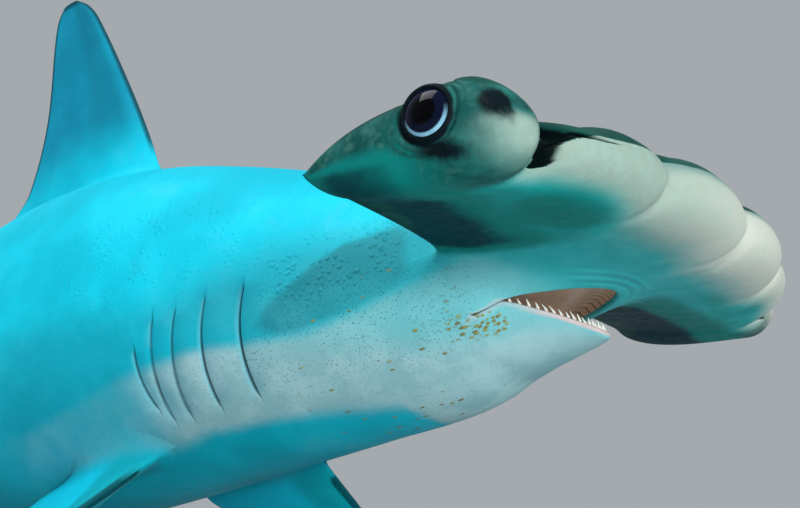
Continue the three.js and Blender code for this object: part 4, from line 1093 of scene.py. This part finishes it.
# Teeth: one row of slender pointed teeth on each side of the jaw, white, leaning a little back, each
# a round spike carried up from its root
draw = np.random.default_rng(7)
tooth_t = np.linspace(0.03, 0.86, 17)
tooth_t = np.concatenate([-tooth_t[::-1], tooth_t])
ring = np.linspace(0, 2 * math.pi, 9)
level = np.array([-3.0, -1, 0.6, 2.4, 4.4, 6.0, 6.8])
width = np.array([2.2, 2.2, 2.0, 1.4, 0.85, 0.45, 0.02])[:, None]
inside_lip = 4.2
tooth_points, tooth_quads = [], []
for t in tooth_t:
    grow = draw.uniform(0.9, 1.45)
    lean, tilt = draw.uniform(0.02, 0.2), draw.uniform(-0.12, 0.12)
    normal = np.array([-mouth_half, 2 * mouth_deep * t])
    s0, y0 = arch(t, jaw_front) - inside_lip * normal / np.linalg.norm(normal)
    z0 = np.interp(abs(t), lip_t, low_z) + 0.6
    up = level[:, None] * grow
    over_gum = np.maximum(up, 0)
    grid = np.stack([
        s0 + lean * over_gum ** 1.4 + width * 0.8 * np.cos(ring),
        y0 + tilt * over_gum + width * 0.9 * np.sin(ring),
        z0 + up + 0 * ring,
    ], -1)
    tooth_quads.append(grid_quads(*grid.shape[:2], len(tooth_points) * len(level) * len(ring)))
    tooth_points.append(grid.reshape(-1, 3))
crown = np.tile(np.repeat(level, len(ring)), len(tooth_t))
teeth = mesh_object("teeth", np.concatenate(tooth_points), np.concatenate(tooth_quads), crown=crown)
enamel, tree, shader = finish("enamel")
tooth_paint = mixed(ramp(mark("crown"), 1.2, -0.4), (0.82, 0.84, 0.78), (0.72, 0.50, 0.44))
feed(shader, Base_Color=tooth_paint, Roughness=0.18)
teeth.data.materials.append(enamel)
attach(teeth, "root")

# Eyes: dark glossy balls with a black pupil and a pale blue crescent low on the rim, which is painted
# light on the lit part of the iris rim; each is a part of a sphere, by its angle from the axis and the
# turn round it
eye_look, tree, shader = finish("eye")
angle = mark("polar")
ahead, _, over = mark_xyz("look")
iris = coats(
    (0.0005, 0.0005, 0.001),
    (ramp(angle, 0.36, 0.46), mixed(cloud(300), (0.001, 0.002, 0.010), (0.003, 0.006, 0.024))),
    # painted light: the iris rim shows pale only low on the ball, where it is lit
    (times(ramp(angle, 0.605, 0.66), ramp(over, 0.002, -0.010), ramp(ahead, -0.024, -0.010)),
        mixed(cloud(120), (0.10, 0.30, 0.46), (0.34, 0.62, 0.8))),
)
feed(shader, Base_Color=iris, Roughness=0.06, Specular_IOR_Level=0.08)
for side, word in ((1, "left"), (-1, "right")):
    polar = np.linspace(0, 0.62 * math.pi, 28)
    turn = np.linspace(0, 2 * math.pi, 49)
    p, a = np.meshgrid(polar, turn, indexing="ij")
    grid = np.stack([
        eye_s + eye_radius * np.sin(p) * np.cos(a),
        side * (eye_out + (eye_radius - 0.2) * np.cos(p)),
        eye_up + eye_radius * np.sin(p) * np.sin(a),
    ], -1)
    ball_points, ball_quads, _ = weld(grid.reshape(-1, 3), grid_quads(*grid.shape[:2], flip=side > 0))
    look_at = ball_points - [eye_s, side * eye_out, eye_up]
    off_axis = np.arccos(np.clip(side * look_at[:, 1] / eye_radius, -1, 1))
    ball = mesh_object("eyeball_" + word, ball_points, ball_quads, polar=off_axis, look=look_at / 1000)
    ball.data.materials.append(eye_look)
    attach(ball, "root")
    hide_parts("eye_" + word)

# Stand: painted base and two brushed steel rods with their flanges, as they come from the solids
paint_look, tree, shader = finish("stand_paint")
spread = cloud(40)
base_paint = mixed(spread, (0.045, 0.05, 0.055), (0.075, 0.08, 0.085))
feed(shader, Base_Color=base_paint, Roughness=ramp(spread, -0.6, 1.5))
steel_look, tree, shader = finish("stand_steel")
brush = cloud(600, 3, (1.0, 1.0, 0.05))
steel = mixed(brush, (0.42, 0.43, 0.44), (0.6, 0.61, 0.62))
feed(shader, Base_Color=steel, Roughness=ramp(brush, -1.0, 2.2), Metallic=1.0)
bpy.data.objects["stand_base"].material_slots[0].material = paint_look
for name in ("stand_flange_front", "stand_flange_rear", "stand_rod_front", "stand_rod_rear"):
    bpy.data.objects[name].material_slots[0].material = steel_look

# Floor and light: a pale floor, a large soft lamp above on the right and a small one low in front
floor_mesh = bpy.data.meshes.new("floor")
floor_mesh.from_pydata([(-40, -40, 0), (40, -40, 0), (40, 40, 0), (-40, 40, 0)], [], [(0, 1, 2, 3)])
into_scene("floor", floor_mesh)
floor_look, tree, shader = finish("floor")
feed(shader, Base_Color=(0.62, 0.66, 0.68, 1), Roughness=0.8)
floor_mesh.materials.append(floor_look)

world = bpy.data.worlds.new("studio")
world.use_nodes = True
feed(world.node_tree.nodes["Background"], Color=(0.74, 0.8, 0.84, 1), Strength=0.5)
bpy.context.scene.world = world


def soft_lamp(name, at, towards, size, power, colour):
    """A square area lamp at a place, turned to face a point"""
    data = bpy.data.lights.new(name, "AREA")
    data.size, data.energy, data.color = size, power, colour
    lamp = into_scene(name, data)
    lamp.location = at
    lamp.rotation_euler = (Vector(towards) - Vector(at)).to_track_quat("-Z", "Y").to_euler()


soft_lamp("key", (0.2, -1.25, 3.1), (0.2, 0, 0.5), 1.6, 62, (1, 0.99, 0.96))
soft_lamp("front", (3.0, -1.3, 0.5), (0.8, -0.1, 0.55), 0.4, 60, (1, 0.97, 0.92))
bpy.context.scene.view_settings.view_transform = "Standard"
